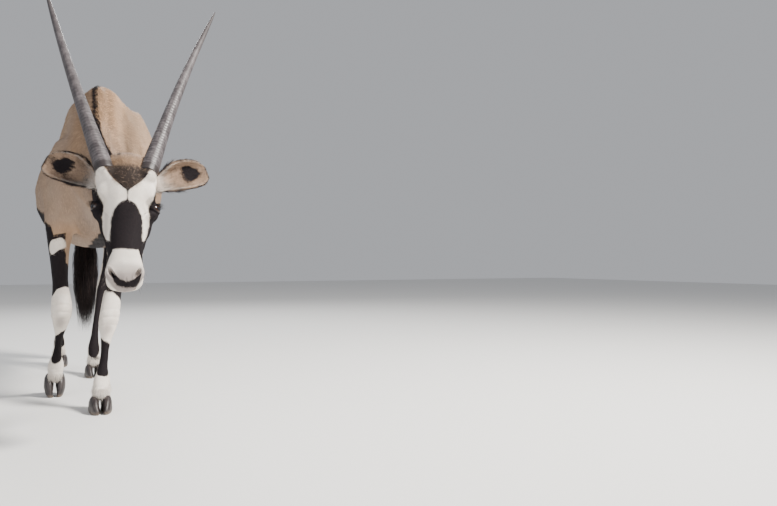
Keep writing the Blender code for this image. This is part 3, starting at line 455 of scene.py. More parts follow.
def edgesOf(mesh):
    return readRows(mesh.edges, "vertices", 2, np.int32)


def trianglesOf(mesh):
    mesh.calc_loop_triangles()
    return readRows(mesh.loop_triangles, "vertices", 3, np.int32)


def setPlaces(mesh, places):
    mesh.vertices.foreach_set("co", places.astype(np.float32).ravel())
    mesh.update()


def applyModifiers(made):
    graph = bpy.context.evaluated_depsgraph_get()
    finished = bpy.data.meshes.new_from_object(made.evaluated_get(graph))
    made.modifiers.clear()
    made.data = finished


def relax(places, ends, weight, rounds):
    # each point moves half way towards the middle of its neighbours, by its weight
    count = len(places)
    one, other = ends.T
    near = np.bincount(one, minlength=count) + np.bincount(other, minlength=count)
    share = (weight * 0.5)[:, None]
    for _ in range(rounds):
        total = np.empty_like(places)
        for k in range(3):
            total[:, k] = (np.bincount(one, weights=places[other, k], minlength=count)
                           + np.bincount(other, weights=places[one, k], minlength=count))
        places = places + (total / np.maximum(near, 1)[:, None] - places) * share
    return places


def setAttributes(mesh, values):
    for name, numbers in values.items():
        layer = mesh.attributes.new(name, "FLOAT", "POINT")
        layer.data.foreach_set("value", np.asarray(numbers, np.float32))


def setBakeMap(mesh, uvOfLoops):
    layer = mesh.uv_layers.new(name="OFBake")
    layer.uv.foreach_set("vector", np.asarray(uvOfLoops, np.float32).ravel())


def setBakePoints(mesh, uv):
    setBakeMap(mesh, uv[readRows(mesh.loops, "vertex_index", 1, np.int32).ravel()])


def shadeSmooth(mesh):
    mesh.polygons.foreach_set("use_smooth", np.ones(len(mesh.polygons), bool))


def finishPiece(piece, material, slot, *replaced):
    piece.data.materials.clear()
    piece.data.materials.append(material)
    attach(piece, "root")
    if replaced:
        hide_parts(*replaced)


def newMaterial(name):
    made = bpy.data.materials.new(name)
    made.use_nodes = True
    tree = made.node_tree
    tree.nodes.clear()
    out = tree.nodes.new("ShaderNodeOutputMaterial")
    shader = tree.nodes.new("ShaderNodeBsdfPrincipled")
    tree.links.new(shader.outputs[0], out.inputs[0])
    return made, tree, shader


def feed(tree, socket, value):
    if isinstance(value, (int, float)):
        socket.default_value = value
    elif isinstance(value, tuple):
        socket.default_value = (*value, 1.0)
    else:
        tree.links.new(value, socket)


def objectNoise(tree, scale, detail=3.0, roughness=0.55, stretch=None):
    place = tree.nodes.new("ShaderNodeTexCoord").outputs["Object"]
    noise = tree.nodes.new("ShaderNodeTexNoise")
    for name, value in (("Scale", scale), ("Detail", detail), ("Roughness", roughness)):
        noise.inputs[name].default_value = value
    if stretch:
        mapping = tree.nodes.new("ShaderNodeMapping")
        mapping.inputs["Scale"].default_value = stretch
        tree.links.new(place, mapping.inputs["Vector"])
        place = mapping.outputs[0]
    tree.links.new(place, noise.inputs["Vector"])
    return noise.outputs["Fac"]


def maths(tree, operation, *values):
    node = tree.nodes.new("ShaderNodeMath")
    node.operation = operation
    for socket, value in zip(node.inputs, values):
        feed(tree, socket, value)
    return node.outputs[0]


def times(tree, a, b):
    return maths(tree, "MULTIPLY", a, b)


def plus(tree, a, b):
    return maths(tree, "ADD", a, b)


def minus(tree, a, b):
    return maths(tree, "SUBTRACT", a, b)


def attribute(tree, name):
    node = tree.nodes.new("ShaderNodeAttribute")
    node.attribute_name = name
    return node.outputs["Fac"]


def ramp(tree, value, low, high):
    node = tree.nodes.new("ShaderNodeMapRange")
    node.interpolation_type = "SMOOTHSTEP"
    node.inputs["From Min"].default_value = low
    node.inputs["From Max"].default_value = high
    tree.links.new(value, node.inputs["Value"])
    return node.outputs["Result"]


def blendColours(tree, share, a, b, mode="MIX"):
    node = tree.nodes.new("ShaderNodeMix")
    node.data_type = "RGBA"
    node.blend_type = mode
    for name, value in (("Factor", share), ("A", a), ("B", b)):
        feed(tree, node.inputs[name], value)
    return node.outputs["Result"]


def addBump(tree, shader, height, strength, distance):
    node = tree.nodes.new("ShaderNodeBump")
    node.inputs["Strength"].default_value = strength
    node.inputs["Distance"].default_value = distance
    tree.links.new(height, node.inputs["Height"])
    tree.links.new(node.outputs[0], shader.inputs["Normal"])


def setShader(tree, shader, colour, **numbers):
    tree.links.new(colour, shader.inputs["Base Color"])
    for name, value in numbers.items():
        shader.inputs[shaderSockets[name]].default_value = value


shaderSockets = {"rough": "Roughness", "shine": "Specular IOR Level", "coat": "Coat Weight",
                 "coatRough": "Coat Roughness"}


coatColours = {
    "fawn": (0.390, 0.284, 0.204), "fawnDeep": (0.250, 0.158, 0.112), "ochre": (0.430, 0.265, 0.155),
    "white": (0.860, 0.795, 0.718), "whiteShade": (0.630, 0.540, 0.455), "black": (0.0075, 0.0055, 0.0070),
    "blackBrown": (0.026, 0.018, 0.019), "grey": (0.330, 0.285, 0.265), "grizzled": (0.024, 0.017, 0.014),
    "root": (0.10, 0.075, 0.06),
}
# noises by lumps to the metre, how far the markings' edges fray in metres, and each tuft's own darkest tone and spread
coatLook = {"hairNoise": 420, "hideNoise": 650, "patchNoise": 38, "broadNoise": 7.5, "fray": 0.012, "ownFray": 0.004,
            "plain": 0.72, "plainWhite": 0.6, "darkest": 0.70, "spread": 0.62, "streaks": 0.22,
            "hairRough": 0.62, "hideRough": 0.78, "shine": 0.14}


def offMiddle(tree, value, size):
    return times(tree, minus(tree, value, 0.5), size)


def coatMaterial(name, isTuft):
    made, tree, shader = newMaterial(name)
    c, s = coatColours, coatLook
    fine = objectNoise(tree, s["hairNoise"] if isTuft else s["hideNoise"], 2.0, 0.6)
    patchy = objectNoise(tree, s["patchNoise"], 4.0, 0.6)
    broad = objectNoise(tree, s["broadNoise"], 3.0, 0.5)
    fray = plus(tree, offMiddle(tree, fine, s["fray"]), offMiddle(tree, patchy, s["fray"]))
    grizzle = attribute(tree, "grizzle")
    if isTuft:
        own = attribute(tree, "own")
        fray = plus(tree, fray, offMiddle(tree, own, s["ownFray"]))
        # some hairs in a grizzled part stay pale
        grizzle = times(tree, grizzle, minus(tree, 1.08, ramp(tree, own, 0.72, 1.0)))
    uneven = ramp(tree, plus(tree, broad, times(tree, patchy, 0.5)), 0.55, 1.0)
    fawn = blendColours(tree, uneven, c["fawnDeep"], c["fawn"])
    fawn = blendColours(tree, s["plain"], fawn, c["fawn"])
    fawn = blendColours(tree, attribute(tree, "warm"), fawn, c["ochre"])
    fawn = blendColours(tree, grizzle, fawn, c["grizzled"])
    white = blendColours(tree, ramp(tree, patchy, 0.35, 0.75), c["whiteShade"], c["white"])
    white = blendColours(tree, s["plainWhite"], white, c["white"])
    colour = blendColours(tree, ramp(tree, plus(tree, attribute(tree, "pale"), fray), -0.003, 0.005), fawn, white)
    colour = blendColours(tree, attribute(tree, "grey"), colour, c["grey"])
    black = blendColours(tree, ramp(tree, fine, 0.45, 0.75), c["black"], c["blackBrown"])
    colour = blendColours(tree, ramp(tree, plus(tree, attribute(tree, "dark"), fray), -0.0015, 0.0025), colour, black)
    if isTuft:
        tone = tree.nodes.new("ShaderNodeCombineColor")
        light = plus(tree, times(tree, own, s["spread"]), s["darkest"])
        for socket in list(tone.inputs)[:3]:
            tree.links.new(light, socket)
        colour = blendColours(tree, 1.0, colour, tone.outputs[0], "MULTIPLY")
    else:
        streaks = times(tree, ramp(tree, fine, 0.25, 0.75), s["streaks"])
        colour = blendColours(tree, streaks, colour, c["root"], "MULTIPLY")
        addBump(tree, shader, fine, 0.35, 0.0012)
    setShader(tree, shader, colour, rough=s["hairRough"] if isTuft else s["hideRough"], shine=s["shine"])
    return made


# skin: one closed surface under the coat
skinSettings = {
    "voxel": 0.0033, "grow": 0.0005, "growEye": 0.0006, "triangles": 186000,
    "depthHead": 0.0026, "depthNeck": 0.0055, "depthTorso": 0.0050, "depthLeg": 0.0028,
    "depthThigh": 0.0018,
}


def addBall(bm, middle, radii):
    # a ball along the head's own axes
    basis = Matrix([headDirection(1, 0, 0), headDirection(0, 1, 0), headDirection(0, 0, 1)]).transposed()
    place = Matrix.Translation(middle) @ basis.to_4x4() @ Matrix.Diagonal((*radii, 1.0))
    made = bmesh.ops.create_uvsphere(bm, u_segments=20, v_segments=12, radius=1.0, matrix=place)
    if place.determinant() < 0:
        bmesh.ops.reverse_faces(bm, faces=list({face for vert in made["verts"] for face in vert.link_faces}))


def addFlesh(bm, node, grow):
    part = nodeCopy(node)
    part.normal_update()
    moves = [vert.normal * grow for vert in part.verts]
    for vert, move in zip(part.verts, moves):
        vert.co += move
    mesh = meshOf(part, node + "Copy")
    bm.from_mesh(mesh)
    bpy.data.meshes.remove(mesh)


def headSign(side):
    return 1 if side == "left" else -1


hornSettings = {
    "base": (0.060, 0.002, 0.034), "tips": {"left": (0.289, -0.752, 0.322), "right": (-0.270, -0.782, 0.345)},
    "bulge": {"left": -0.009, "right": 0.005}, "seat": -0.014, "sides": 40, "levels": 301,
    # the rings: where the first and the last start, their spacing and its growth, height, unevenness and fading
    "ringFrom": -0.004, "ringTo": 0.66, "pitch": 0.0118, "growth": 1.010, "uneven": 0.20, "ring": 0.0021, "fade": 0.58,
    "radii": ((-0.04, 0.0252), (0.0, 0.0250), (0.03, 0.0242), (0.07, 0.0228), (0.20, 0.0191), (0.34, 0.0167),
              (0.50, 0.0144), (0.70, 0.0111), (0.85, 0.0076), (0.95, 0.0042), (0.985, 0.0022), (1.0, 0.0008)),
}


def hornAxis(side):
    across, along, deep = hornSettings["base"]
    base = headPoint(headSign(side) * across, along, deep)
    return base, headPoint(*hornSettings["tips"][side]) - base


# balls that fill out the flesh: place and radii; the side ones on both sides, the rest in the middle
fleshBalls = {
    "side": (((0.066, 0.116, 0.055), (0.0235, 0.024, 0.022)), ((0.062, 0.020, 0.094), (0.026, 0.032, 0.034)),
             ((0.0300, 0.314, 0.014), (0.0115, 0.018, 0.016)), ((0.026, 0.300, 0.080), (0.0205, 0.040, 0.014))),
    "lip": ((0, 0.330, 0.066), (0.019, 0.021, 0.014)),
    "tail": (((1.010, 1.034), (1.035, 1.038), (1.058, 1.036)), (0.036, 0.026, 0.034)),
    "horn": (0.029, 0.026, 0.029),
}


def makeSkinForm():
    bm = bmesh.new()
    for node in fleshNodes:
        addFlesh(bm, node, skinSettings["grow"])
    for side in sides:
        addFlesh(bm, "eye_" + side, skinSettings["growEye"])
        for (across, along, deep), radii in fleshBalls["side"]:
            addBall(bm, headPoint(headSign(side) * across, along, deep), radii)
        base, axis = hornAxis(side)
        axis.normalize()
        for step in range(6):
            addBall(bm, base + axis * (-0.030 + 0.0065 * step), fleshBalls["horn"])
    addBall(bm, headPoint(*fleshBalls["lip"][0]), fleshBalls["lip"][1])
    # the flesh closes round the tail's root
    for y, z in fleshBalls["tail"][0]:
        addBall(bm, Vector(bodyShift) + Vector((0, y, z)), fleshBalls["tail"][1])
    form = addObject("hideForm", meshOf(bm, "hideForm"))
    remeshForm(form)
    # the crest is put right and the whole remeshed once more, so that nothing is left folded there
    setPlaces(form.data, lowerCrest(placesOf(form.data)))
    remeshForm(form)
    return form


def remeshForm(form):
    remesh = form.modifiers.new("Remesh", "REMESH")
    remesh.mode = "VOXEL"
    remesh.voxel_size = skinSettings["voxel"]
    applyModifiers(form)


# down the neck and back: the flesh's top, lean, half width and so on, and the ridge that stands on it
crestSettings = {
    "neckTop": ((-0.50, 0.788), (-0.43, 0.832), (-0.34, 0.893), (-0.23, 0.968), (-0.12, 1.040), (0.0, 1.105),
                (0.17, 1.130)),
    "neckLean": ((-0.50, 0.006), (-0.43, -0.004), (-0.34, -0.014), (-0.23, -0.016), (-0.12, -0.010), (0.0, 0.0),
                 (0.17, 0.004)),
    "neckHalf": ((-0.50, 0.070), (-0.43, 0.078), (-0.34, 0.088), (-0.23, 0.106), (-0.12, 0.128), (0.0, 0.150),
                 (0.17, 0.165)),
    "throat": ((-0.50, 0.610), (-0.34, 0.630), (-0.23, 0.640)),
    "backTop": ((-0.175, 0.880), (-0.12, 0.975), (-0.03, 1.075), (0.04, 1.118), (0.10, 1.138), (0.25, 1.134),
                (0.42, 1.104)),
    "backHalf": ((-0.175, 0.070), (-0.12, 0.128), (-0.03, 0.168), (0.10, 0.198), (0.25, 0.212)),
    "power": ((-0.12, 1.8), (-0.03, 1.4), (0.10, 1.26), (0.25, 1.25)),
    "ridgeTop": ((-0.50, 0.786), (-0.43, 0.834), (-0.34, 0.900), (-0.23, 0.983), (-0.16, 1.049), (-0.10, 1.085),
                 (-0.04, 1.111), (0.05, 1.132), (0.12, 1.136), (0.25, 1.115), (0.33, 1.090)),
    "rounding": ((-0.34, 14.0), (-0.20, 11.0), (-0.10, 7.2), (0.10, 7.2), (0.25, 9.0)),
    "neckPower": 1.75, "backFrom": -0.16, "backMiddle": 0.80,
}


def lowerCrest(places):
    # brings the solids' mane locks down to the neck and back they stand on, with a ridge steeper on its right
    x, y, z = (places - bodyShift).T
    s = crestSettings
    (neckTop, neckLean, neckHalf, throat, backTop, backHalf, power, ridgeTop, rounding) = (
        table(y, s[key]) for key in ("neckTop", "neckLean", "neckHalf", "throat", "backTop", "backHalf", "power",
                                     "ridgeTop", "rounding"))
    neckMiddle = throat + 0.46 * (neckTop - throat)
    offNeck, offBack = np.abs(x - neckLean) / neckHalf, np.abs(x / backHalf)
    neckUp = neckMiddle + (neckTop - neckMiddle) * np.maximum(1 - offNeck ** s["neckPower"], 0) ** (1 / s["neckPower"])
    backUp = s["backMiddle"] + (backTop - s["backMiddle"]) * np.maximum(1 - offBack ** power, 0) ** (1 / power)
    onBack = y > s["backFrom"]
    flesh = np.maximum(neckUp, np.where(onBack, backUp, 0)) - 0.004
    away = x - crestLine(y)
    fall = np.where(away > 0, rounding * away ** 2, 0.9 * (np.sqrt(away ** 2 + 0.012 ** 2) - 0.012))
    height = np.maximum(flesh, ridgeTop - fall - 220 * away ** 4)
    weight = (1 - ease(np.abs(away), 0.070, 0.145)) * ease(y, -0.51, -0.47) * (1 - ease(y, 0.24, 0.33))
    weight *= ease(z, height - 0.075, height - 0.045)
    # not where the neck's own side falls away steeply
    weight *= 1 - ease(np.where(onBack, np.minimum(offNeck, offBack), offNeck), 0.62, 0.90)
    return places + np.column_stack((0 * x, 0 * x, (height - z) * weight))


def evenDepth(places, ends, part):
    # the coat's depth, with the legs' growing a little above the elbow and stifle
    s = skinSettings
    legDepth = s["depthLeg"] + ease((places - bodyShift)[:, 2], 0.48, 0.70) * s["depthThigh"]
    depth = np.select([part == 1, part == 2, part == 0], [s["depthHead"], s["depthNeck"], s["depthTorso"]], legDepth)
    return relax(depth[:, None] * np.ones((1, 3)), ends, np.ones(len(places)), 12)[:, 0]


eyeSettings = {"gaze": (0.860, 0.02, -0.50), "halfLength": 0.80, "halfHeight": 0.54, "slant": 14.0,
               "tearLine": [(0.128, 0.030), (0.141, 0.024), (0.152, 0.021)]}


def eyeFrame(sign):
    # gaze, towards the nose along the lids, and up across them, in head measures
    gaze = np.array(eyeSettings["gaze"]) * (sign, 1, 1)
    gaze /= np.linalg.norm(gaze)
    slant = math.radians(eyeSettings["slant"])
    up = np.array((0.0, -math.cos(slant), math.sin(slant) * 0.8))
    up -= gaze * (up @ gaze)
    up /= np.linalg.norm(up)
    fore = np.cross(up, gaze)
    if fore[2] > 0:
        fore = -fore
    return gaze, fore, up


def lidShape(local, sign):
    # from the eye's middle: how far and which way each place lies, how it faces, and its share out to the lids' rim
    s = eyeSettings
    gaze, fore, up = eyeFrame(sign)
    away = local - np.array(headSettings["eye"]) * (sign, 1, 1)
    length = np.linalg.norm(away, axis=1)
    turned = away / np.maximum(length, 1e-6)[:, None]
    f = turned @ fore
    u = turned @ up + 0.06 * f
    height = np.where(u > 0, s["halfHeight"], s["halfHeight"] * 0.80)
    q = (np.abs(f / s["halfLength"]) ** 1.8 + np.abs(u / height) ** 1.8) ** (1 / 1.8)
    return length, turned, turned @ gaze, u, q


def shapeEyes(local):
    radius = headSettings["eyeRadius"]
    for sign in (1, -1):
        length, turned, facing, u, q = lidShape(local, sign)
        near = (facing > 0.05) & (length < 0.05) & (local[:, 0] * sign > 0)
        upper = u > 0
        folds = -0.0018 * bump(q, 1.62, 0.16) * upper - 0.0012 * bump(q, 1.50, 0.14) * ~upper
        target = np.where(q < 1.0, radius - 0.0045, radius + 0.0022 + 0.0006 * upper)
        target = target + np.where(q > 1.0, folds, 0) + np.where(q > 1.0, 0.0012 * bump(q, 1.95, 0.22), 0)
        weight = (1 - ease(q, 1.55, 2.25)) * near
        eye = np.array(headSettings["eye"]) * (sign, 1, 1)
        shaped = eye + turned * (length + (target - length) * weight)[:, None]
        local = np.where(near[:, None], shaped, local)
        # the tear groove from the inner corner, and creases behind the outer one
        flat = local[:, 1:].copy()
        inward = 0.0022 * bump(toLine(flat, eyeSettings["tearLine"]), 0, 0.0022)
        inward = inward * (local[:, 0] * sign > 0.03) * (q > 1.05)
        local[:, 0] -= sign * inward * 0.8
        local[:, 2] += inward * 0.6
        for k in range(3):
            crease = toLine(flat, [(0.094 - 0.006 * k, 0.052 + 0.004 * k), (0.086 - 0.007 * k, 0.066 + 0.003 * k),
                                   (0.092, 0.083 + 0.003 * k)])
            local[:, 0] -= sign * 0.0010 * bump(crease, 0, 0.0019) * (local[:, 0] * sign > 0.05) * (q > 1.4)
    return local


muzzleSettings = {
    "nostril": (0.0335, 0.314), "nostrilTurn": 30,
    "mouth": [(0.352, 0.064), (0.340, 0.068), (0.315, 0.076), (0.285, 0.084), (0.262, 0.088)],
    # lines down each side of the face: how far out they stand, half width, and how far out from the middle they start
    "lines": (([(0.322, 0.034), (0.300, 0.046), (0.275, 0.052), (0.250, 0.050)], -0.0014, 0.0045, 0.015),
              ([(0.135, 0.060), (0.165, 0.058), (0.200, 0.052), (0.228, 0.046)], 0.0022, 0.007, 0.025),
              ([(0.160, 0.085), (0.200, 0.078), (0.240, 0.070)], -0.0026, 0.011, 0.025)),
}


def nostrilPlace(side, along):
    return side - muzzleSettings["nostril"][0], along - muzzleSettings["nostril"][1]


def shapeMuzzle(local):
    s = muzzleSettings
    turn = math.radians(s["nostrilTurn"])
    for sign in (1, -1):
        side, along, deep = local[:, 0] * sign, local[:, 1], local[:, 2]
        # nostril: a slanted comma, its outer wing raised
        right, down = nostrilPlace(side, along)
        a = right * math.cos(turn) + down * math.sin(turn)
        b = -right * math.sin(turn) + down * math.cos(turn)
        hollow = np.hypot((a + 0.10 * np.abs(b)) / 0.0062, b / 0.0150)
        front = (deep < 0.030) & (side > 0)
        push = 0.013 * (1 - ease(hollow, 0.55, 1.05)) * front
        push = push - 0.0020 * bump(hollow, 1.32, 0.22) * front * (0.6 + 0.4 * ease(a, 0.0, 0.006))
        local[:, 2] += push
        local[:, 0] -= sign * 0.45 * push
        # the mouth's line back from the lips, and the lips along it
        flat = np.column_stack((along, deep))
        mouth = toLine(flat, s["mouth"])
        parted = bump(mouth, 0, 0.0017) * ease(along, 0.256, 0.275)
        local[:, 0] -= sign * 0.0034 * parted * (side > 0.010)
        local[:, 1] -= 0.0030 * parted * ease(along, 0.335, 0.350)
        lips = bump(mouth, 0.0050, 0.0030) * ease(along, 0.262, 0.285)
        local[:, 0] += sign * 0.0010 * lips * (side > 0.010)
        local[:, 1] += 0.0010 * lips * ease(along, 0.335, 0.350)
        for line, out, half, start in s["lines"]:
            local[:, 0] += sign * out * bump(toLine(flat, line), 0, half) * (side > start)
    side, along, deep = local.T
    # philtrum down from between the nostrils, and a shallow hollow between the eyes
    front = deep < 0.05
    away = side - faceSettings["middle"]
    local[:, 2] += 0.0022 * bump(away, 0, 0.0022) * ease(along, 0.322, 0.334) * (along < 0.356) * front
    local[:, 2] += 0.0016 * bump(away, 0, 0.016) * bump(along, 0.105, 0.035) * front
    return local


def roundHorn(places, side):
    # the horn's base and way, and how far up it and out from it each place lies
    base, axis = hornAxis(side)
    base, axis = np.array(base), np.array(axis.normalized())
    away = places - base
    level = away @ axis
    return base, axis, level, np.linalg.norm(away - level[:, None] * axis, axis=1)


def seatHorns(places):
    # the skin runs up under each horn's rim, thinner than the horn
    seat = hornSettings["seat"]
    for side in sides:
        base, axis, level, reach = roundHorn(places, side)
        across = places - base - level[:, None] * axis
        wanted = np.where(level > seat, 0.0185, 0.0185 + 0.9 * (seat - level))
        inside = (reach < 0.050) & (level > seat - 0.020) & (level < 0.035)
        shrink = np.where(inside & (reach > wanted), wanted / np.maximum(reach, 1e-6), 1.0)
        shrink = 1 - (1 - shrink) * ease(level, seat - 0.016, seat + 0.002)
        places = base + level[:, None] * axis + across * shrink[:, None]
        tall = (reach < 0.032) & (level > 0.004)
        places = places - axis * (np.where(tall, level - 0.004, 0.0) * 0.9)[:, None]
    return places


# lines on the body's side, from above down: how deep, how wide, and between which half widths they come in
bodyLines = (
    ([(0.155, 1.02), (0.185, 0.90), (0.175, 0.78), (0.130, 0.68)], 0.0038, 0.036, 0.05, 0.11),
    ([(0.02, 0.655), (0.08, 0.640), (0.13, 0.655)], 0.0030, 0.014, 0.05, 0.09),
    ([(0.745, 0.80), (0.72, 0.74), (0.700, 0.69)], 0.0045, 0.024, 0.06, 0.11),
    ([(0.760, 1.02), (0.800, 0.95), (0.830, 0.86)], 0.0030, 0.034, 0.05, 0.11),
)


def shapeBody(places, normals, part):
    body = places - bodyShift
    x, y, z = body.T
    trunk = part == 0
    # faint ribs, the lines of shoulder, elbow, flank and hip, and the neck's wrinkles
    ribs = np.sin((y - 0.10 + 0.35 * (z - 0.80)) * 2 * math.pi / 0.048) * bump(y, 0.40, 0.16) * bump(z, 0.80, 0.12)
    out = np.where(trunk, 0.0010 * ribs, 0)
    flat = np.column_stack((y, z))
    for line, deep, half, low, high in bodyLines:
        out -= ease(np.abs(x), low, high) * deep * bump(toLine(flat, line), 0, half)
    wrinkle = np.sin((y + 0.9 * z) * 2 * math.pi / 0.036 + 2.5 * ripple(body, 0.20))
    out += np.where(part == 2, 0.0006 * wrinkle, 0)
    out += np.where(trunk | (part == 2), 0.0012 * ripple(body, 0.11), 0)
    for k, (name, rows) in enumerate(legs.items()):
        mine = part == 3 + k
        turn = legMeasures(body, name)[1]
        front = np.abs(turn)
        knee, lock = (rows[5][0], rows[10][0]) if "front" in name else (0.425, rows[9][0])
        # the groove between bone and tendon, then the muscles above the knee
        cannon = ease(z, lock + 0.020, lock + 0.045) * (1 - ease(z, knee - 0.060, knee - 0.035))
        upper = ease(z, knee + 0.045, knee + 0.08) * (1 - ease(z, knee + 0.22, knee + 0.30))
        grooves = [(0.0026, middle, 0.30, cannon) for middle in (1.75, -1.75)] + [(-0.0010, 0, 0.5, cannon)]
        grooves += [(0.0022, middle, 0.26, upper) for middle in (1.25, -1.25, 2.3)]
        for deep, middle, half, share in grooves:
            out -= np.where(mine, deep * bump(turn, middle, half) * share, 0)
        # the knee's bones, and creases over the joints
        for level, size in ((knee + 0.022, 0.0014), (knee - 0.004, 0.0016), (knee - 0.030, 0.0012)):
            out -= np.where(mine & (front < 2.0), size * bump(z, level + 0.003 * np.cos(2 * turn), 0.0042), 0)
        for level in (lock - 0.008, lock - 0.020, lock - 0.030):
            out -= np.where(mine & (front < 1.6), 0.0010 * bump(z, level, 0.0030), 0)
    return places + normals * out[:, None]


def refine(mesh):
    # splits the edges of chosen faces: where the eyes, nose and lips need a closer net
    bm = bmesh.new()
    bm.from_mesh(mesh)
    for choose in (nearFace, nearFeatures):
        bm.verts.ensure_lookup_table()
        chosen = choose(toHead(np.array([vert.co for vert in bm.verts])))
        edges = [edge for edge in bm.edges if chosen[edge.verts[0].index] and chosen[edge.verts[1].index]]
        bmesh.ops.subdivide_edges(bm, edges=edges, cuts=1, use_grid_fill=True, smooth=0.0)
        bm.verts.index_update()
    bm.to_mesh(mesh)
    bm.free()


def nearFace(local):
    side, along, deep = local.T
    eyes = np.hypot(along - 0.116, deep - 0.045) < 0.050
    return ((along > 0.235) & (deep < 0.115) & (along < 0.40)) | (eyes & (np.abs(side) > 0.035))


def nearFeatures(local):
    side, along, deep = local.T
    eyes = (np.hypot(along - 0.116, deep - 0.045) < 0.034) & (np.abs(side) > 0.045)
    nose = (along > 0.290) & (deep < 0.040)
    mouth = (along > 0.262) & (np.abs(deep - 0.076 + 0.3 * (along - 0.315)) < 0.014)
    return (along < 0.40) & (eyes | nose | mouth)


def easeCrest(places, ends, weight, rounds):
    # the crest alone: its own points are lifted out, eased and put back
    mine = np.flatnonzero(weight > 0.002)
    order = np.full(len(places), -1)
    order[mine] = np.arange(len(mine))
    inner = order[ends]
    places[mine] = relax(places[mine], inner[(inner >= 0).all(1)], weight[mine], rounds)


def makeSkin():
    form = makeSkinForm()
    mesh = form.data
    print("skin remeshed:", len(mesh.vertices), "points")
    places, ends = placesOf(mesh), edgesOf(mesh)
    part, body = partsOf(places)
    crest = (1 - ease(np.abs(body[:, 0]), 0.12, 0.18)) * ease(body[:, 1], -0.52, -0.46)
    crest = crest * (1 - ease(body[:, 1], 0.30, 0.36)) * (body[:, 2] > 0.78)
    weight = np.select([part == 0, part == 2, part == 1], [1.0, 1.0, 0.35], 0.45)
    weight = relax(weight[:, None] * np.ones((1, 3)), ends, np.ones(len(places)), 20)[:, 0]
    places = relax(places, ends, weight, 34)
    easeCrest(places, ends, crest, 36)
    places = lowerCrest(places)
    easeCrest(places, ends, crest, 8)
    setPlaces(mesh, places)
    setPlaces(mesh, places - normalsOf(mesh) * evenDepth(places, ends, part)[:, None])
    refine(mesh)
    places = placesOf(mesh)
    part, _ = partsOf(places)
    isHead = part == 1
    places = relax(places, edgesOf(mesh), nearFace(toHead(places)) * 0.5, 4)
    setPlaces(mesh, places)
    places = shapeBody(places, normalsOf(mesh), part)
    places[isHead] = headPoints(shapeEyes(shapeMuzzle(toHead(places[isHead]))))
    places = seatHorns(places)
    setPlaces(mesh, places)
    form.name = "hide"
    # the face keeps the most triangles, then the legs
    fine = form.vertex_groups.new(name="Fine")
    share = np.where(isHead, 0.45, 0.12)
    share = np.where(isHead & nearFeatures(toHead(places)), 0.72, share)
    share = np.where(part >= 3, 0.30, share)
    for value in np.unique(share):
        fine.add(np.flatnonzero(share == value).tolist(), float(value), "REPLACE")
    thin = form.modifiers.new("Thin", "DECIMATE")
    thin.ratio = skinSettings["triangles"] / sum(len(p.vertices) - 2 for p in mesh.polygons)
    thin.vertex_group = "Fine"
    thin.invert_vertex_group = True
    thin.vertex_group_factor = 3.0
    applyModifiers(form)
    print("skin finished:", len(trianglesOf(form.data)), "triangles")
    return form


def finishSkin(skin):
    mesh = skin.data
    mesh.name = "hide"
    shadeSmooth(mesh)
    places, normals = placesOf(mesh), normalsOf(mesh)
    values, part = markings(places, normals)
    setAttributes(mesh, values)
    setBakePoints(mesh, unwrap(places, part))
    finishPiece(skin, coatMaterial("shortHide", False), "hide", *fleshNodes)
    return BVHTree.FromPolygons([Vector(p) for p in places], [tuple(c) for c in trianglesOf(mesh).tolist()])


def headWeight(middle):
    # denser where the camera sees the face's front, with small hairs on the muzzle
    _, along, deep = toHead(middle).T
    return 1.0 + 0.5 * ease(along, 0.23, 0.30) - 0.5 * ease(deep, 0.14, 0.19)


def headLength(spot):
    side, along, deep = toHead(spot).T
    size = 1.0 - 0.55 * ease(along, 0.235, 0.31) + 0.9 * ease(-along, -0.03, 0.04)
    size = size + 0.45 * bump(np.hypot(side - faceSettings["middle"], along - 0.045), 0, 0.05) * (deep < 0.04)
    return size + 0.5 * ease(deep, 0.12, 0.18)


def legWeight(middle):
    return 1.0 + 0.9 * ease(-middle[:, 2], -0.52, -0.40)


def legLength(spot):
    # short down the leg, with a cuff of longer hair over the hoof's edge
    return 0.62 + 0.60 * ease(spot[:, 2], 0.36, 0.62) + 1.3 * (1 - ease(spot[:, 2], 0.060, 0.085))


def cuffWeight(middle):
    return ease(middle[:, 2], 0.046, 0.060) * (1 - ease(middle[:, 2], 0.078, 0.092))


def bodyLength(spot):
    body = spot - bodyShift
    up = ease(body[:, 2], 0.95, 1.06)
    return 0.85 + 0.18 * ripple(body, 0.3) + 0.25 * up * (body[:, 1] < 0.2) + 0.25 * ease(-body[:, 2], -0.66, -0.60)


def dockWeight(middle):
    return (middle[:, 2] > 0.85).astype(float)


def even(places):
    return np.ones(len(places))


# the coat: thin tufts along its lie, each layer on its parts of the skin
coatSettings = {
    "faceFur": {"parts": (1,), "seed": 31, "count": 120000, "length": (0.0045, 0.0085), "width": 0.00085, "lift": 9,
                "weight": headWeight, "size": headLength},
    "neckFur": {"parts": (2,), "seed": 32, "count": 62000, "length": (0.013, 0.021), "width": 0.0017, "lift": 10,
                "weight": even, "size": bodyLength},
    "bodyFur": {"parts": (0,), "seed": 33, "count": 150000, "length": (0.012, 0.020), "width": 0.0020, "lift": 8,
                "weight": even, "size": bodyLength},
    "legFur": {"parts": (3, 4, 5, 6), "seed": 34, "count": 62000, "length": (0.007, 0.013), "width": 0.0012, "lift": 9,
               "weight": legWeight, "size": legLength},
    "hoofCuff": {"parts": (3, 4, 5, 6), "seed": 35, "count": 9000, "length": (0.016, 0.028), "width": 0.0013,
                 "lift": 14, "weight": cuffWeight, "size": even},
    "dockFur": {"parts": (0,), "seed": 36, "count": 5000, "length": (0.013, 0.021), "width": 0.0017, "lift": 10,
                "weight": dockWeight, "size": even, "dark": 0.02},
}
mostTufts = 65000


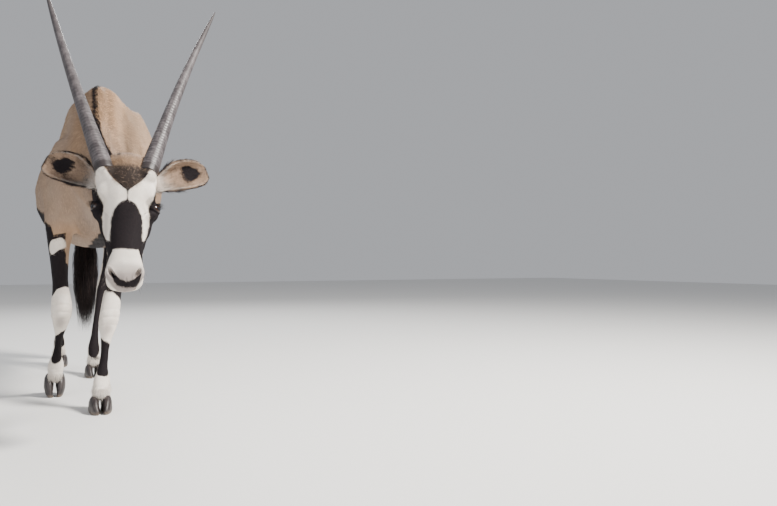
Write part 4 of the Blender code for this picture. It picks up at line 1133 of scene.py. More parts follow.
def alongSkin(ways, normals):
    return unit(ways - normals * (ways * normals).sum(1, keepdims=True))


def headLie(local):
    # out from the forehead's middle, then down the face, back over the cheek and up behind the horns
    side, along, deep = local.T
    turn = roundHead(local)
    away = np.column_stack((side - faceSettings["middle"], along - 0.045, 0 * deep))
    down = np.column_stack((0.25 * np.sign(side) * bump(turn, 40, 30), np.ones(len(side)), 0.25 * ease(turn, 30, 80)))
    share = (1 - ease(np.linalg.norm(away, axis=1), 0.035, 0.085))[:, None]
    lie = unit(away + 1e-6) * share + unit(down) * (1 - share)
    cheek = ease(turn, 75, 110)[:, None] * (1 - ease(along, 0.22, 0.27))[:, None]
    lie = lie * (1 - cheek) + np.array((0.0, 0.45, 0.9)) * cheek
    behind = ease(-along, -0.01, 0.03)[:, None]
    return fromHeadTurn(lie * (1 - behind) + np.array((0.0, -0.75, 0.65)) * behind)


def lieOf(places, normals, part):
    body = places - bodyShift
    x, y, z = body.T
    one = np.ones(len(x))
    lie = np.tile((0.0, 1.0, -0.30), (len(places), 1))
    sideways = np.clip(x / 0.15, -1, 1)
    trunk = part == 0
    lie[trunk] = np.column_stack((0.15 * sideways, one, -0.15 - 0.55 * np.abs(sideways)))[trunk]
    lie[part == 2] = np.column_stack((0.45 * np.sign(x + 0.01), 0.75 * one, -0.75 * one))[part == 2]
    # down over the thigh and the upper arm, and down the legs
    limbs = trunk & (((y > 0.76) & (z < 0.95)) | ((y < 0.14) & (z < 0.85)))
    lie[limbs] = (0.0, 0.35, -1.0)
    lie[part >= 3] = (0.0, 0.12, -1.0)
    isHead = part == 1
    if isHead.any():
        lie[isHead] = headLie(toHead(places[isHead]))
    # a slow wander, so that the coat isn't combed straight
    sway = np.column_stack((ripple(body, 0.16), ripple(body + 3.0, 0.13), ripple(body + 7.0, 0.19)))
    return alongSkin(unit(lie) + 0.16 * sway, normals)


# each foot's place, and the height below which no hair grows on it
hoofTops = ((-0.150, 0.206, 0.060), (-0.020, -0.156, 0.044), (0.008, 0.616, 0.044), (-0.118, 1.010, 0.044))


def coatAllowed(places, part):
    # no hair grows on the balls of the eyes, the nostrils, the lips' line and the seats of horns and hooves
    body = places - bodyShift
    keep = np.ones(len(places), bool)
    isHead = part == 1
    local = toHead(places[isHead])
    ok = (headMarks(local)[0] <= -0.0005) | (local[:, 1] <= 0.300) | (local[:, 2] >= 0.046)
    ok &= local[:, 1] < 0.3515
    for side in sides:
        sign = headSign(side)
        length, _, facing, _, q = lidShape(local, sign)
        ok &= ~((facing > 0.0) & (length < 0.05) & (q < 1.16) & (local[:, 0] * sign > 0))
        ok &= ~((np.hypot(*nostrilPlace(local[:, 0] * sign, local[:, 1])) < 0.014) & (local[:, 2] < 0.034))
        _, _, level, reach = roundHorn(places[isHead], side)
        ok &= ~((reach < 0.026) & (level > hornSettings["seat"] - 0.004))
    keep[isHead] = ok
    for x, y, top in hoofTops:
        keep &= ~((np.linalg.norm(body[:, :2] - (x, y), axis=1) < 0.09) & (body[:, 2] < top))
    return keep


def scatter(mesh, count, weightOf, seed):
    # random places on the skin, by area and weight, with their normals
    spots = np.random.default_rng(seed)
    corners = trianglesOf(mesh)
    places, normals = placesOf(mesh), normalsOf(mesh)
    a, b, c = (places[corners[:, k]] for k in range(3))
    weight = 0.5 * np.linalg.norm(np.cross(b - a, c - a), axis=1) * weightOf(places[corners].mean(1))
    picked = corners[spots.choice(len(corners), count, p=weight / weight.sum())]
    a, b = spots.random((2, count))
    flip = a + b > 1
    a[flip], b[flip] = 1 - a[flip], 1 - b[flip]
    share = np.column_stack((1 - a - b, a, b))[:, :, None]
    return (places[picked] * share).sum(1), unit((normals[picked] * share).sum(1))


corners = [(math.cos(math.radians(angle)), math.sin(math.radians(angle))) for angle in (90, 210, 330)]


def roundOf(centre, wide, thin, half, flat):
    # three points round each centre
    return [centre + wide * half * c + thin * half * s * flat for c, s in corners]


def spikeMesh(name, points, faces, values, uv):
    # one small spike after another; the faces are turned outwards by the first one
    each = len(points)
    places = np.stack(points, 1).reshape(-1, 3)
    faces = np.array(faces)
    a, b, c = (places[faces[:6, k]] for k in range(3))
    if (np.cross(b - a, c - a) * ((a + b + c) / 3 - places[:min(each, 6)].mean(0))).sum() < 0:
        faces = faces[:, ::-1]
    index = (faces[None] + np.arange(0, len(places), each)[:, None, None]).reshape(-1, 3)
    mesh = bpy.data.meshes.new(name)
    mesh.vertices.add(len(places))
    mesh.vertices.foreach_set("co", places.astype(np.float32).ravel())
    mesh.loops.add(index.size)
    mesh.loops.foreach_set("vertex_index", index.astype(np.int32).ravel())
    mesh.polygons.add(len(index))
    mesh.polygons.foreach_set("loop_start", np.arange(0, index.size, 3, dtype=np.int32))
    mesh.update(calc_edges=True)
    shadeSmooth(mesh)
    setAttributes(mesh, {key: np.repeat(numbers, each) for key, numbers in values.items()})
    patch = np.array([(0.0, 0.0), (0.003, 0.0), (0.0, 0.003)])
    spots = uv[:, None, None, :] + np.broadcast_to(patch, (len(faces), 3, 2))[None]
    setBakeMap(mesh, np.clip(spots.reshape(-1, 2), 0, 1))
    return mesh


def tuftMesh(name, roots, normals, lie, length, width, lift, values, uv, sink=0.0012):
    # each tuft is a three-sided spike, its root open under the skin
    rise = np.radians(lift)[:, None]
    along = unit(lie * np.cos(rise) + normals * np.sin(rise))
    wide = unit(np.cross(along, normals))
    base = roots - normals * sink
    points = roundOf(base, wide, np.cross(wide, along), (width / 2)[:, None], 0.55) + [base + along * length[:, None]]
    mesh = spikeMesh(name, points, [(0, 1, 3), (1, 2, 3), (2, 0, 3)], values, uv)
    # soft normals: the skin's, turned a little by each tuft's own sides
    soft = np.repeat(normals, len(points), axis=0) * 0.75 + normalsOf(mesh) * 0.45
    mesh.normals_split_custom_set_from_vertices(unit(soft))
    return mesh


def addCoat(name, mesh):
    s = coatSettings[name]

    def weightOf(middle):
        return np.isin(partsOf(middle)[0], s["parts"]) * s["weight"](middle)

    spot, normal = scatter(mesh, s["count"], weightOf, s["seed"])
    part, _ = partsOf(spot)
    ok = coatAllowed(spot, part)
    spot, normal, part = spot[ok], normal[ok], part[ok]
    count = len(spot)
    spots = np.random.default_rng(s["seed"] + 100)
    length = spots.uniform(*s["length"], count) * s["size"](spot)
    width = s["width"] * spots.uniform(0.7, 1.3, count)
    lift = s["lift"] * spots.uniform(0.3, 1.9, count)
    lie = unit(lieOf(spot, normal, part) + 0.22 * spots.normal(size=spot.shape))
    lie = alongSkin(lie, normal)
    marks, _ = markings(spot, normal)
    marks["own"] = spots.random(count)
    if "dark" in s:
        marks["dark"][:] = s["dark"]
    uv = unwrap(spot, part)
    for k in range(0, count, mostTufts):
        cut = slice(k, k + mostTufts)
        full = name if count <= mostTufts else name + "_" + "abcdefgh"[k // mostTufts]
        made = tuftMesh(full, spot[cut], normal[cut], lie[cut], length[cut], width[cut], lift[cut],
                        {key: numbers[cut] for key, numbers in marks.items()}, uv[cut])
        finishPiece(addObject(full, made), coatMaterial(full + "Hair", True), "hide")
    print(name, count, "tufts")


def makeEye(side):
    sign = headSign(side)
    radius = headSettings["eyeRadius"]
    gaze, fore, up = eyeFrame(sign)
    bm = bmesh.new()
    bmesh.ops.create_uvsphere(bm, u_segments=64, v_segments=48, radius=radius)
    # the cornea stands out a little over the iris
    for vert in bm.verts:
        swell = max(0.0, (vert.co.z / radius - 0.70) / 0.30)
        vert.co *= 1.0 + 0.040 * swell * swell * (3 - 2 * swell)
    right, high, facing = np.array([vert.co for vert in bm.verts]).T / radius
    basis = Matrix([Vector(fromHeadTurn(np.array([axis]))[0]) for axis in (fore, up, gaze)]).transposed()
    across, along, deep = headSettings["eye"]
    place = Matrix.Translation(headPoint(sign * across, along, deep)) @ basis.to_4x4()
    bmesh.ops.transform(bm, matrix=place, verts=bm.verts)
    if basis.determinant() < 0:
        bmesh.ops.reverse_faces(bm, faces=bm.faces)
    made = addObject("eyeball_" + side, meshOf(bm, "eyeball_" + side))
    shadeSmooth(made.data)
    pupil = 1 - np.hypot(right / 0.50, high / 0.24)
    setAttributes(made.data, {"pupil": np.where(facing > 0, pupil, -1),
                              "iris": np.where(facing > 0, 0.62 - np.hypot(right, high), -0.5)})
    finishPiece(made, eyeMaterial, "eye", "eye_" + side)


eyeColours = {"iris": ((0.012, 0.0055, 0.0035), (0.034, 0.0145, 0.0075)), "pupil": (0.004, 0.004, 0.006),
              "white": ((0.020, 0.012, 0.010), (0.045, 0.028, 0.024))}


def makeEyeMaterial():
    made, tree, shader = newMaterial("wetEye")
    streak = objectNoise(tree, 900, 2.0, 0.5)
    iris = blendColours(tree, ramp(tree, streak, 0.3, 0.7), *eyeColours["iris"])
    white = blendColours(tree, ramp(tree, streak, 0.3, 0.8), *eyeColours["white"])
    colour = blendColours(tree, ramp(tree, attribute(tree, "iris"), -0.03, 0.03), white, iris)
    colour = blendColours(tree, ramp(tree, attribute(tree, "pupil"), -0.08, 0.10), colour, eyeColours["pupil"])
    setShader(tree, shader, colour, rough=0.09, shine=0.32, coat=0.25, coatRough=0.02)
    addBump(tree, shader, objectNoise(tree, 180, 1.0), 0.015, 0.0005)
    return made


def ringEdges(wobble):
    # close set at the base, wider spaced further up
    s = hornSettings
    edges, place, pitch = [], s["ringFrom"], s["pitch"]
    while place < s["ringTo"]:
        edges.append(place)
        place += pitch * (1.0 + s["uneven"] * wobble[len(edges)])
        pitch *= s["growth"]
    return np.array(edges)


def hornRelief(level, turn, sign):
    # how far the rings and fine flutes stand out, as rows of levels and columns of turns, and how deep in a groove,
    # which sets the painted shade in the grooves
    s = hornSettings
    roughly = random.Random(23 + sign)
    wobble = np.array([roughly.uniform(-1, 1) for _ in range(120)])
    edges = ringEdges(wobble)
    # rings lie a little askew and bend on their way round
    askew = level + (0.0016 * np.sin(turn + 0.7) + 0.0007 * np.sin(3 * turn + sign)) * (level > 0)
    index = np.searchsorted(edges, askew, side="right")
    ringed = (index > 0) & (index < len(edges))
    after = np.clip(index, 1, len(edges) - 1)
    low, high = edges[after - 1], edges[after]
    swell = np.sin(math.pi * np.clip((askew - low) / (high - low), 0, 1) ** 0.75) ** 0.6
    fade = np.maximum(1 - (np.maximum(level, 0) / s["fade"]) ** 1.1, 0) * (1 + 0.25 * wobble[after])
    rings = np.where(ringed, s["ring"] * fade * (swell - 0.45), np.where(index == 0, 0.0010, 0.0))
    # painted shade: the grooves between the rings are darkened by how deep in them a place lies
    grooveShade = np.where(ringed, np.maximum(1 - swell * 1.5, 0) * np.minimum(1.5 * fade, 1), 0)
    flutes = 0.00030 * np.sin(13 * turn + 1.7 * sign + 4 * level) * np.minimum(1.3 - level, 1)
    # deepest on the horn's front
    front = 0.45 + 0.55 * (0.55 - 0.45 * np.sin(turn))
    return rings * front + flutes * table(level, s["radii"]) / 0.025, grooveShade


def makeHorn(side):
    s = hornSettings
    base, axis = hornAxis(side)
    outward = headDirection(headSign(side), 0, 0)
    forward = axis.normalized()
    across = (outward - forward * outward.dot(forward)).normalized()
    facing = forward.cross(across)
    body = -0.020 + np.linspace(0, 1, s["levels"]) ** 1.10 * 1.005
    level = np.concatenate(([-0.028, -0.024], body, [0.992, 0.997, 1.0]))[:, None]
    turn = 2 * math.pi * np.arange(s["sides"])[None] / s["sides"]
    relief, grooveShade = hornRelief(level, turn, headSign(side))
    bow = np.sin(math.pi * np.maximum(level, 0))
    middle = np.array(base) + level * np.array(axis) + bow * np.array(outward * s["bulge"][side] * 1.25)
    middle = middle + bow * (0, -0.006, 0)
    reach = (table(level, s["radii"]) + relief)[:, :, None]
    spots = middle[:, None] + np.array(across) * np.cos(turn)[:, :, None] * reach
    spots = spots + np.array(facing) * np.sin(turn)[:, :, None] * reach * 1.08
    bm = bmesh.new()
    rings = [[bm.verts.new(spot) for spot in row] for row in spots]
    for one, other in zip(rings, rings[1:]):
        for corners in zip(one, one[1:] + one[:1], other[1:] + other[:1], other):
            bm.faces.new(corners)
    bm.faces.new(rings[0])
    bm.faces.new(rings[-1])
    bmesh.ops.recalc_face_normals(bm, faces=bm.faces)
    made = addObject("ringedHorn_" + side, meshOf(bm, "ringedHorn_" + side))
    shadeSmooth(made.data)
    setAttributes(made.data, {"level": np.repeat(level, s["sides"]), "grooveShade": grooveShade.ravel()})
    finishPiece(made, hornMaterial, "horn", "horn_" + side)


# the fleck colour is partly the horn's grain and partly a painted highlight; the groove colour is painted shade in the
# rings' grooves
hornColours = {"plain": ((0.040, 0.033, 0.035), (0.100, 0.087, 0.090)), "fleckAndHighlight": (0.27, 0.248, 0.245),
               "grooveShade": (0.012, 0.009, 0.010), "tip": (0.045, 0.037, 0.037), "rim": (0.022, 0.016, 0.016)}


def makeHornMaterial():
    made, tree, shader = newMaterial("wornHorn")
    c = hornColours
    level = attribute(tree, "level")
    grain = objectNoise(tree, 60, 4.0, 0.6, (1.0, 1.0, 0.16))
    fine = objectNoise(tree, 420, 3.0, 0.6, (1.0, 1.0, 0.14))
    colour = blendColours(tree, ramp(tree, grain, 0.32, 0.70), *c["plain"])
    # pale streaks along the horn: partly the horn's own grain, partly a painted highlight
    colour = blendColours(tree, times(tree, ramp(tree, fine, 0.52, 0.86), 0.42), colour, c["fleckAndHighlight"])
    # painted shade in the rings' grooves
    grooveShade = times(tree, attribute(tree, "grooveShade"), plus(tree, times(tree, grain, 0.7), 0.65))
    colour = blendColours(tree, grooveShade, colour, c["grooveShade"])
    colour = blendColours(tree, ramp(tree, level, 0.60, 0.99), colour, c["tip"])
    colour = blendColours(tree, minus(tree, 1.0, ramp(tree, level, -0.006, 0.006)), colour, c["rim"])
    setShader(tree, shader, colour)
    rough = tree.nodes.new("ShaderNodeMapRange")
    rough.inputs["To Min"].default_value = 0.34
    rough.inputs["To Max"].default_value = 0.58
    tree.links.new(grain, rough.inputs["Value"])
    tree.links.new(rough.outputs["Result"], shader.inputs["Roughness"])
    addBump(tree, shader, plus(tree, grain, times(tree, fine, 0.6)), 0.35, 0.0012)
    return made


earSettings = {"length": (0.006, 0.011), "width": 0.0011, "count": 15000,
               "root": (0.072, 0.034, 0.092),
              "tips": {"left": (0.226, -0.028, 0.108), "right": (-0.219, -0.050, 0.150)}}


def earMeasures(places, side):
    # shares along the ear and across it (up), and the ways along, across and out of its hollow
    sign = headSign(side)
    root = np.array(headPoint(sign * earSettings["root"][0], *earSettings["root"][1:]))
    tip = np.array(headPoint(*earSettings["tips"][side]))
    axis = tip - root
    length = np.linalg.norm(axis)
    axis = axis / length
    facing = np.array(headDirection(sign * 0.35, 0.1, -1))
    facing = facing - axis * (facing @ axis)
    facing /= np.linalg.norm(facing)
    wide = np.cross(axis, facing)
    if wide[2] < 0:
        wide = -wide
    away = places - root
    along = away @ axis / length
    across = away @ wide - 0.013 * np.sin(math.pi * np.clip(along, 0, 1))
    half = table(along, ((0.0, 0.016), (0.10, 0.021), (0.22, 0.031), (0.36, 0.041), (0.52, 0.0455), (0.68, 0.0455),
                         (0.82, 0.041), (0.93, 0.031), (1.0, 0.016)))
    return along, across / half, axis, wide, facing


def nodeCopy(node, cuts=0, smooth=0.0):
    # a solid's mesh, its points joined, and cut finer where asked
    bm = bmesh.new()
    bm.from_mesh(nodes[node].data)
    bmesh.ops.remove_doubles(bm, verts=bm.verts, dist=2e-5)
    if cuts:
        bmesh.ops.subdivide_edges(bm, edges=bm.edges, cuts=cuts, use_grid_fill=True, smooth=smooth)
        bmesh.ops.triangulate(bm, faces=bm.faces)
    return bm


def makeEar(side):
    made = addObject("earSkin_" + side, meshOf(nodeCopy("ear_" + side, 3, 0.9), "earSkin_" + side))
    mesh = made.data
    places = placesOf(mesh)
    places = relax(places, edgesOf(mesh), np.ones(len(places)), 3)
    setPlaces(mesh, places)
    places -= normalsOf(mesh) * 0.0006
    setPlaces(mesh, places)
    shadeSmooth(mesh)
    along, across, _, _, facing = earMeasures(places, side)
    inside = normalsOf(mesh) @ facing > 0.05
    setAttributes(mesh, earMarks(along, across, inside))
    setBakePoints(mesh, earUnwrap(along, across, inside, side))
    finishPiece(made, coatMaterial("earHide_" + side, False), "hide", "ear_" + side)
    return mesh


def earUnwrap(along, across, inside, side):
    left = 0.02 if side == "left" else 0.5
    u = left + np.where(inside, 0.22, 0.0) + 0.10 + 0.10 * np.clip(across, -1, 1)
    return np.column_stack((u, 0.02 + 0.9 * np.clip(along, 0, 1)))


def earMarks(along, across, inside):
    rimOut = np.abs(across)
    uneven = 0.0022 * np.sin(9 * along + 5 * across) + 0.0016 * np.sin(21 * across - 13 * along)
    rim = np.maximum(rimOut - 0.86, 0.0) * 0.055 + np.maximum(along - 0.965, 0) * 0.12 - 0.0012
    patch = 0.028 - np.hypot((along - 0.70) * 0.150, (across - 0.03) * 0.043) + uneven
    # the patch runs out in feathers towards the ear's root
    patch = patch - 0.010 * np.maximum(0, np.sin(26 * across)) * ease(-along, -0.66, -0.50)
    dark = np.where(inside, np.maximum(rim, patch - 0.004), rim)
    edge = np.where((rimOut > 0.80) & (rimOut < 0.86), 0.0005, -0.01)
    pale = np.where(inside, np.maximum(edge, (0.24 - along) * 0.02 - 0.001), -0.02)
    warm = np.where(inside, 0.55, 0.45)
    grey = np.where(inside, 0.12 + 0.25 * (1 - ease(along, 0.10, 0.35)), 0.10)
    grizzle = np.where(inside, 0.22 + 0.3 * ease(-across, 0.35, 0.8) * (1 - ease(along, 0.3, 0.5)), 0.15)
    return {"dark": dark, "pale": pale, "warm": warm, "grey": grey, "grizzle": grizzle}


def addEarHair(side, mesh):
    spot, normal = scatter(mesh, earSettings["count"], even, 51 + headSign(side))
    along, across, axis, wide, facing = earMeasures(spot, side)
    inside = normal @ facing > 0.05
    keep = ~(inside & (along < 0.86) & (np.abs(across) < 0.5) & (np.random.default_rng(5).random(len(spot)) < 0.35))
    spot, normal, along, across, inside = (v[keep] for v in (spot, normal, along, across, inside))
    spots = np.random.default_rng(61 + headSign(side))
    lie = alongSkin(axis + wide * (across * 0.55)[:, None] + 0.15 * spots.normal(size=spot.shape), normal)
    length = spots.uniform(*earSettings["length"], len(spot)) * np.where(along > 0.9, 0.55, 1.0)
    # a fringe of longer pale hair inside, from the ear's lower edge and root
    fringe = inside & (along < 0.45)
    length = np.where(fringe, length * 2.2, length)
    width = earSettings["width"] * spots.uniform(0.7, 1.2, len(spot))
    lift = spots.uniform(4, 14, len(spot)) + np.where(fringe, 10, 0)
    marks = earMarks(along, across, inside)
    marks["own"] = spots.random(len(spot))
    uv = earUnwrap(along, across, inside, side)
    made = tuftMesh("earHair_" + side, spot, normal, lie, length, width, lift, marks, uv, sink=0.0006)
    finishPiece(addObject("earHair_" + side, made), coatMaterial("earFur_" + side, True), "hide")


def makeHoof(node):
    name = "claw_" + node[5:]
    made = addObject(name, meshOf(nodeCopy(node, 4, 0.7), name))
    mesh = made.data
    places = placesOf(mesh)
    low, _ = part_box(node)
    upper = ease(places[:, 2], low.z + 0.003, low.z + 0.009)
    places = relax(places, edgesOf(mesh), upper, 3)
    setPlaces(mesh, places)
    height = places[:, 2] - low.z
    ridges = np.sin((height + 0.10 * (places[:, 1] - low.y)) * 2 * math.pi / 0.0062 + 0.8 * ripple(places, 0.02))
    places += normalsOf(mesh) * ((0.00035 * ridges - 0.0004) * upper)[:, None]
    places[:, 2] = np.maximum(places[:, 2], low.z)
    setPlaces(mesh, places)
    shadeSmooth(mesh)
    setAttributes(mesh, {"height": height})
    finishPiece(made, hoofMaterial, "hoof", node)


hoofColours = {"plain": ((0.012, 0.009, 0.010), (0.045, 0.035, 0.033)), "worn": (0.14, 0.105, 0.080)}


def makeHoofMaterial():
    made, tree, shader = newMaterial("hoofHorn")
    grain = objectNoise(tree, 160, 4.0, 0.6, (1.0, 1.0, 0.2))
    fine = objectNoise(tree, 900, 3.0, 0.6)
    colour = blendColours(tree, ramp(tree, grain, 0.3, 0.7), *hoofColours["plain"])
    worn = ramp(tree, minus(tree, times(tree, fine, 0.020), attribute(tree, "height")), -0.004, 0.009)
    colour = blendColours(tree, worn, colour, hoofColours["worn"])
    setShader(tree, shader, colour, rough=0.46)
    addBump(tree, shader, plus(tree, grain, times(tree, fine, 0.4)), 0.3, 0.0010)
    return made


# long hair: mane, tail, lashes and whiskers
def addStrands(name, paths, widths, uv, own, colours, slot=None):
    # three-sided locks along their paths, tapering to a point
    steps = paths.shape[1]
    run = np.gradient(paths, axis=1)
    run = run / np.maximum(np.linalg.norm(run, axis=2, keepdims=True), 1e-9)
    guide = np.tile((0.31, -0.17, 0.93), (len(paths), 1))
    guide = np.where(np.abs((run[:, 0] * guide).sum(1, keepdims=True)) > 0.8, np.array((0.9, 0.4, 0.1)), guide)
    wide = np.cross(run, guide[:, None, :])
    wide = wide / np.maximum(np.linalg.norm(wide, axis=2, keepdims=True), 1e-9)
    thin = np.cross(wide, run)
    share = np.linspace(0, 1, steps)
    taper = (0.55 + 0.45 * np.sin(math.pi * np.minimum(1.0, 0.15 + 1.1 * share))) * (1 - share ** 3)
    points, faces = [], []
    for k in range(steps - 1):
        points += roundOf(paths[:, k], wide[:, k], thin[:, k], (widths / 2 * taper[k])[:, None], 0.6)
        for j in range(3):
            a, b = 3 * k + j, 3 * k + (j + 1) % 3
            faces += [(a, b, b + 3), (a, b + 3, a + 3)] if k < steps - 2 else [(a, b, 3 * (steps - 1))]
    points.append(paths[:, -1])
    finishPiece(addObject(name, spikeMesh(name, points, faces, {"own": own}, uv)), longHairMaterial(*colours), slot)


def bentPaths(roots, start, end, length, middles):
    # each path leaves its root one way and bends to another, in three equal steps
    paths = [roots]
    for m in middles:
        paths.append(paths[-1] + unit(start * (1 - m) + end * m) * (length / 3)[:, None])
    return np.stack(paths, 1)


def longHairMaterial(name, dark, light):
    made, tree, shader = newMaterial(name)
    own = attribute(tree, "own")
    streak = objectNoise(tree, 260, 3.0, 0.6, (1.0, 1.0, 0.15))
    mixed = plus(tree, times(tree, own, 0.7), times(tree, streak, 0.5))
    colour = blendColours(tree, ramp(tree, mixed, 0.35, 1.10), dark, light)
    setShader(tree, shader, colour, rough=0.55, shine=0.16)
    addBump(tree, shader, streak, 0.2, 0.0006)
    return made


hairColours = {
    "mane": ("maneBlack", (0.006, 0.004, 0.005), (0.020, 0.014, 0.012)),
    "tail": ("tailBlack", (0.008, 0.006, 0.007), (0.045, 0.032, 0.030)),
    "lash": ("lashBlack", (0.010, 0.008, 0.008), (0.030, 0.022, 0.020)),
    "whisker": ("whiskerHair", (0.05, 0.04, 0.035), (0.45, 0.38, 0.33)),
}
maneSettings = {"count": 5200, "front": -0.480, "rear": 0.165, "length": (0.013, 0.022), "width": 0.0015}


def makeMane(skinTree):
    s = maneSettings
    spots = np.random.default_rng(71)
    count = s["count"]
    y = spots.uniform(s["front"], s["rear"], count)
    middle = crestLine(y)
    x = middle + spots.uniform(-1.0, 0.2, count) * np.minimum(spineHalf(y), 0.008)
    starts = np.column_stack((x, y, np.full(count, 1.6))) + bodyShift
    hits = [skinTree.ray_cast(Vector(start), Vector((0, 0, -1))) for start in starts]
    roots, ups = np.array([hit[0] for hit in hits]), np.array([hit[1] for hit in hits])
    fade = least((y - s["front"]) / 0.08 + 0.5, (s["rear"] - y) / 0.10 + 0.4, 1.0)
    length = spots.uniform(*s["length"], count) * fade
    back = alongSkin(np.tile((0.0, 1.0, 0.0), (count, 1)), ups)
    lean = np.column_stack(((x - middle) / 0.010 * 0.20 + spots.normal(0, 0.07, count), 0 * y, 0 * y))
    start, end = unit(ups * 0.38 + back * 0.90 + lean), unit(ups * 0.06 + back + lean * 0.6)
    paths = bentPaths(roots - ups * 0.0015, start, end, length, (1 / 6, 0.5, 5 / 6))
    uv = unwrap(roots, partsOf(roots)[0])
    own = spots.random(count)
    addStrands("maneHair", paths, s["width"] * spots.uniform(0.7, 1.2, count), uv, own, hairColours["mane"])
    print("mane:", count, "locks")


# the tail: its locks; along, height, half width and depth down the dock; its line, hair's and dock's reach by height
tailSettings = {"locks": 4600, "width": 0.0036, "steps": 8, "short": 0.84, "clumps": 14, "deepest": 1.168, "low": 0.137}
dock = ((0.990, 1.040, 0.026, 0.022), (1.040, 1.046, 0.026, 0.023), (1.092, 1.030, 0.024, 0.022),
        (1.122, 0.985, 0.020, 0.018), (1.140, 0.900, 0.017, 0.016), (1.142, 0.800, 0.015, 0.014),
        (1.140, 0.700, 0.013, 0.012), (1.136, 0.620, 0.010, 0.010), (1.134, 0.570, 0.004, 0.004))
tailLine = ((0.135, 1.128), (0.465, 1.132), (0.600, 1.136), (0.700, 1.140), (0.800, 1.142), (0.900, 1.140),
            (0.985, 1.122), (1.030, 1.092))
tailFlare = ((0.10, 0.036), (0.20, 0.042), (0.32, 0.050), (0.44, 0.057), (0.58, 0.050), (0.70, 0.034), (0.80, 0.020),
             (0.95, 0.012))
dockRadius = ((0.57, 0.003), (0.62, 0.010), (0.70, 0.012), (0.80, 0.014), (0.90, 0.016), (1.0, 0.019), (1.04, 0.021))


def makeDock():
    # rings of a flattened round swept down the tail's line
    bm = bmesh.new()
    steps = np.arange(6 * (len(dock) - 1) + 1) / 6
    rows = np.column_stack([np.interp(steps, range(len(dock)), column) for column in zip(*dock)])
    rings = []
    for k, (y, z, half, deep) in enumerate(rows):
        before, after = rows[max(k - 1, 0)], rows[min(k + 1, len(rows) - 1)]
        out = Vector((0, after[0] - before[0], after[1] - before[1])).normalized().cross(Vector((1, 0, 0)))
        centre = Vector(bodyShift) + Vector((0, y, z))
        ring = bmesh.ops.create_circle(bm, segments=24, radius=1.0)["verts"]
        for vert in ring:
            vert.co = centre + Vector((vert.co.x * (half - 0.003), 0, 0)) + out * vert.co.y * (deep - 0.003)
        rings.append(set(ring))
    for pair in zip(rings, rings[1:]):
        edges = [edge for edge in bm.edges if any(set(edge.verts) <= ring for ring in pair)]
        bmesh.ops.bridge_loops(bm, edges=edges)
    bmesh.ops.holes_fill(bm, edges=bm.edges)
    bmesh.ops.recalc_face_normals(bm, faces=bm.faces)
    made = addObject("tailDock", meshOf(bm, "tailDock"))
    mesh = made.data
    count = len(mesh.vertices)
    setPlaces(mesh, relax(placesOf(mesh), edgesOf(mesh), np.ones(count), 3))
    shadeSmooth(mesh)
    marks = {"dark": 0.02, "pale": -0.05, "warm": 0.4, "grey": 0.0, "grizzle": 0.1}
    setAttributes(mesh, {key: np.full(count, value) for key, value in marks.items()})
    x, y, z = (placesOf(mesh) - bodyShift).T
    setBakePoints(mesh, np.column_stack((np.arctan2(x, y - 1.12) / nearTurn + 0.5, np.clip(z / 1.1, 0, 1))))
    finishPiece(made, coatMaterial("dockHide", False), "tail_hair", "tail")
    addCoat("dockFur", mesh)


def makeTailHair():
    # locks: short down the dock, long from its lower half, spreading and closing again at the tip
    s = tailSettings
    count = s["locks"]
    spots = np.random.default_rng(83)
    top = np.where(spots.random(count) < 0.22, spots.uniform(0.80, 1.040, count), spots.uniform(0.575, 0.84, count))
    tip = 0.138 + 0.29 * spots.random(count) ** 1.5
    short = top > s["short"]
    length = np.where(short, spots.uniform(0.05, 0.11, count), np.minimum(top - tip, spots.uniform(0.38, 0.56, count)))
    angle = spots.uniform(0, 2 * math.pi, count)
    reach = spots.uniform(0.35, 1.0, count)
    clump = np.round(angle * s["clumps"] / nearTurn) * nearTurn / s["clumps"]
    angle = angle * 0.45 + clump * 0.55
    sway = spots.normal(0, 0.010, count)
    curl = spots.uniform(-0.5, 0.5, count)
    paths = []
    for share in np.linspace(0, 1, s["steps"]):
        z = np.maximum(top - length * share, s["low"])
        close = 1 - 0.35 * np.clip((share - 0.6) / 0.4, 0, 1)
        wideOut = table(top, dockRadius) * 0.8 * (1 - min(1, 1.6 * share))
        wideOut = wideOut + table(z, tailFlare) * (reach * min(1, 1.8 * share)) * close
        out = np.where(short, table(z, dockRadius) + 0.002 + 0.004 * share, wideOut)
        turn = angle + curl * share
        x = np.cos(turn) * out + sway * share * share
        y = np.minimum(table(z, tailLine) + np.sin(turn) * out * 0.82, s["deepest"])
        paths.append(np.column_stack((x, y, z)) + bodyShift)
    width = s["width"] * spots.uniform(0.45, 1.25, count) * np.where(short, 0.8, 1.0)
    uv = np.column_stack((angle / nearTurn % 1.0, np.clip(top / 1.1, 0, 1)))
    addStrands("tailLocks", np.stack(paths, 1), width, uv, spots.random(count), hairColours["tail"], "tail_hair")
    print("tail:", count, "locks")


# lashes and whiskers: thin hairs, bent in three steps
fineHairs = {"lashes": {"width": 0.00075, "each": 46, "length": (0.010, 0.017)},
             "whiskers": {"width": 0.00055, "each": 60, "length": (0.012, 0.030)}, "middles": (0.17, 0.5, 0.83)}


def addFineHairs(name, rows, place, colours, spots):
    # rows of root, first way, last way and length
    roots, start, end, length = (np.array(column) for column in zip(*rows))
    paths = bentPaths(roots, start, end, length, fineHairs["middles"])
    count = len(paths)
    if place:
        paths = place(paths.reshape(-1, 3)).reshape(paths.shape)
    addStrands(name, paths, np.full(count, fineHairs[name]["width"]), np.full((count, 2), 0.5), spots.random(count),
               hairColours[colours], "hide")


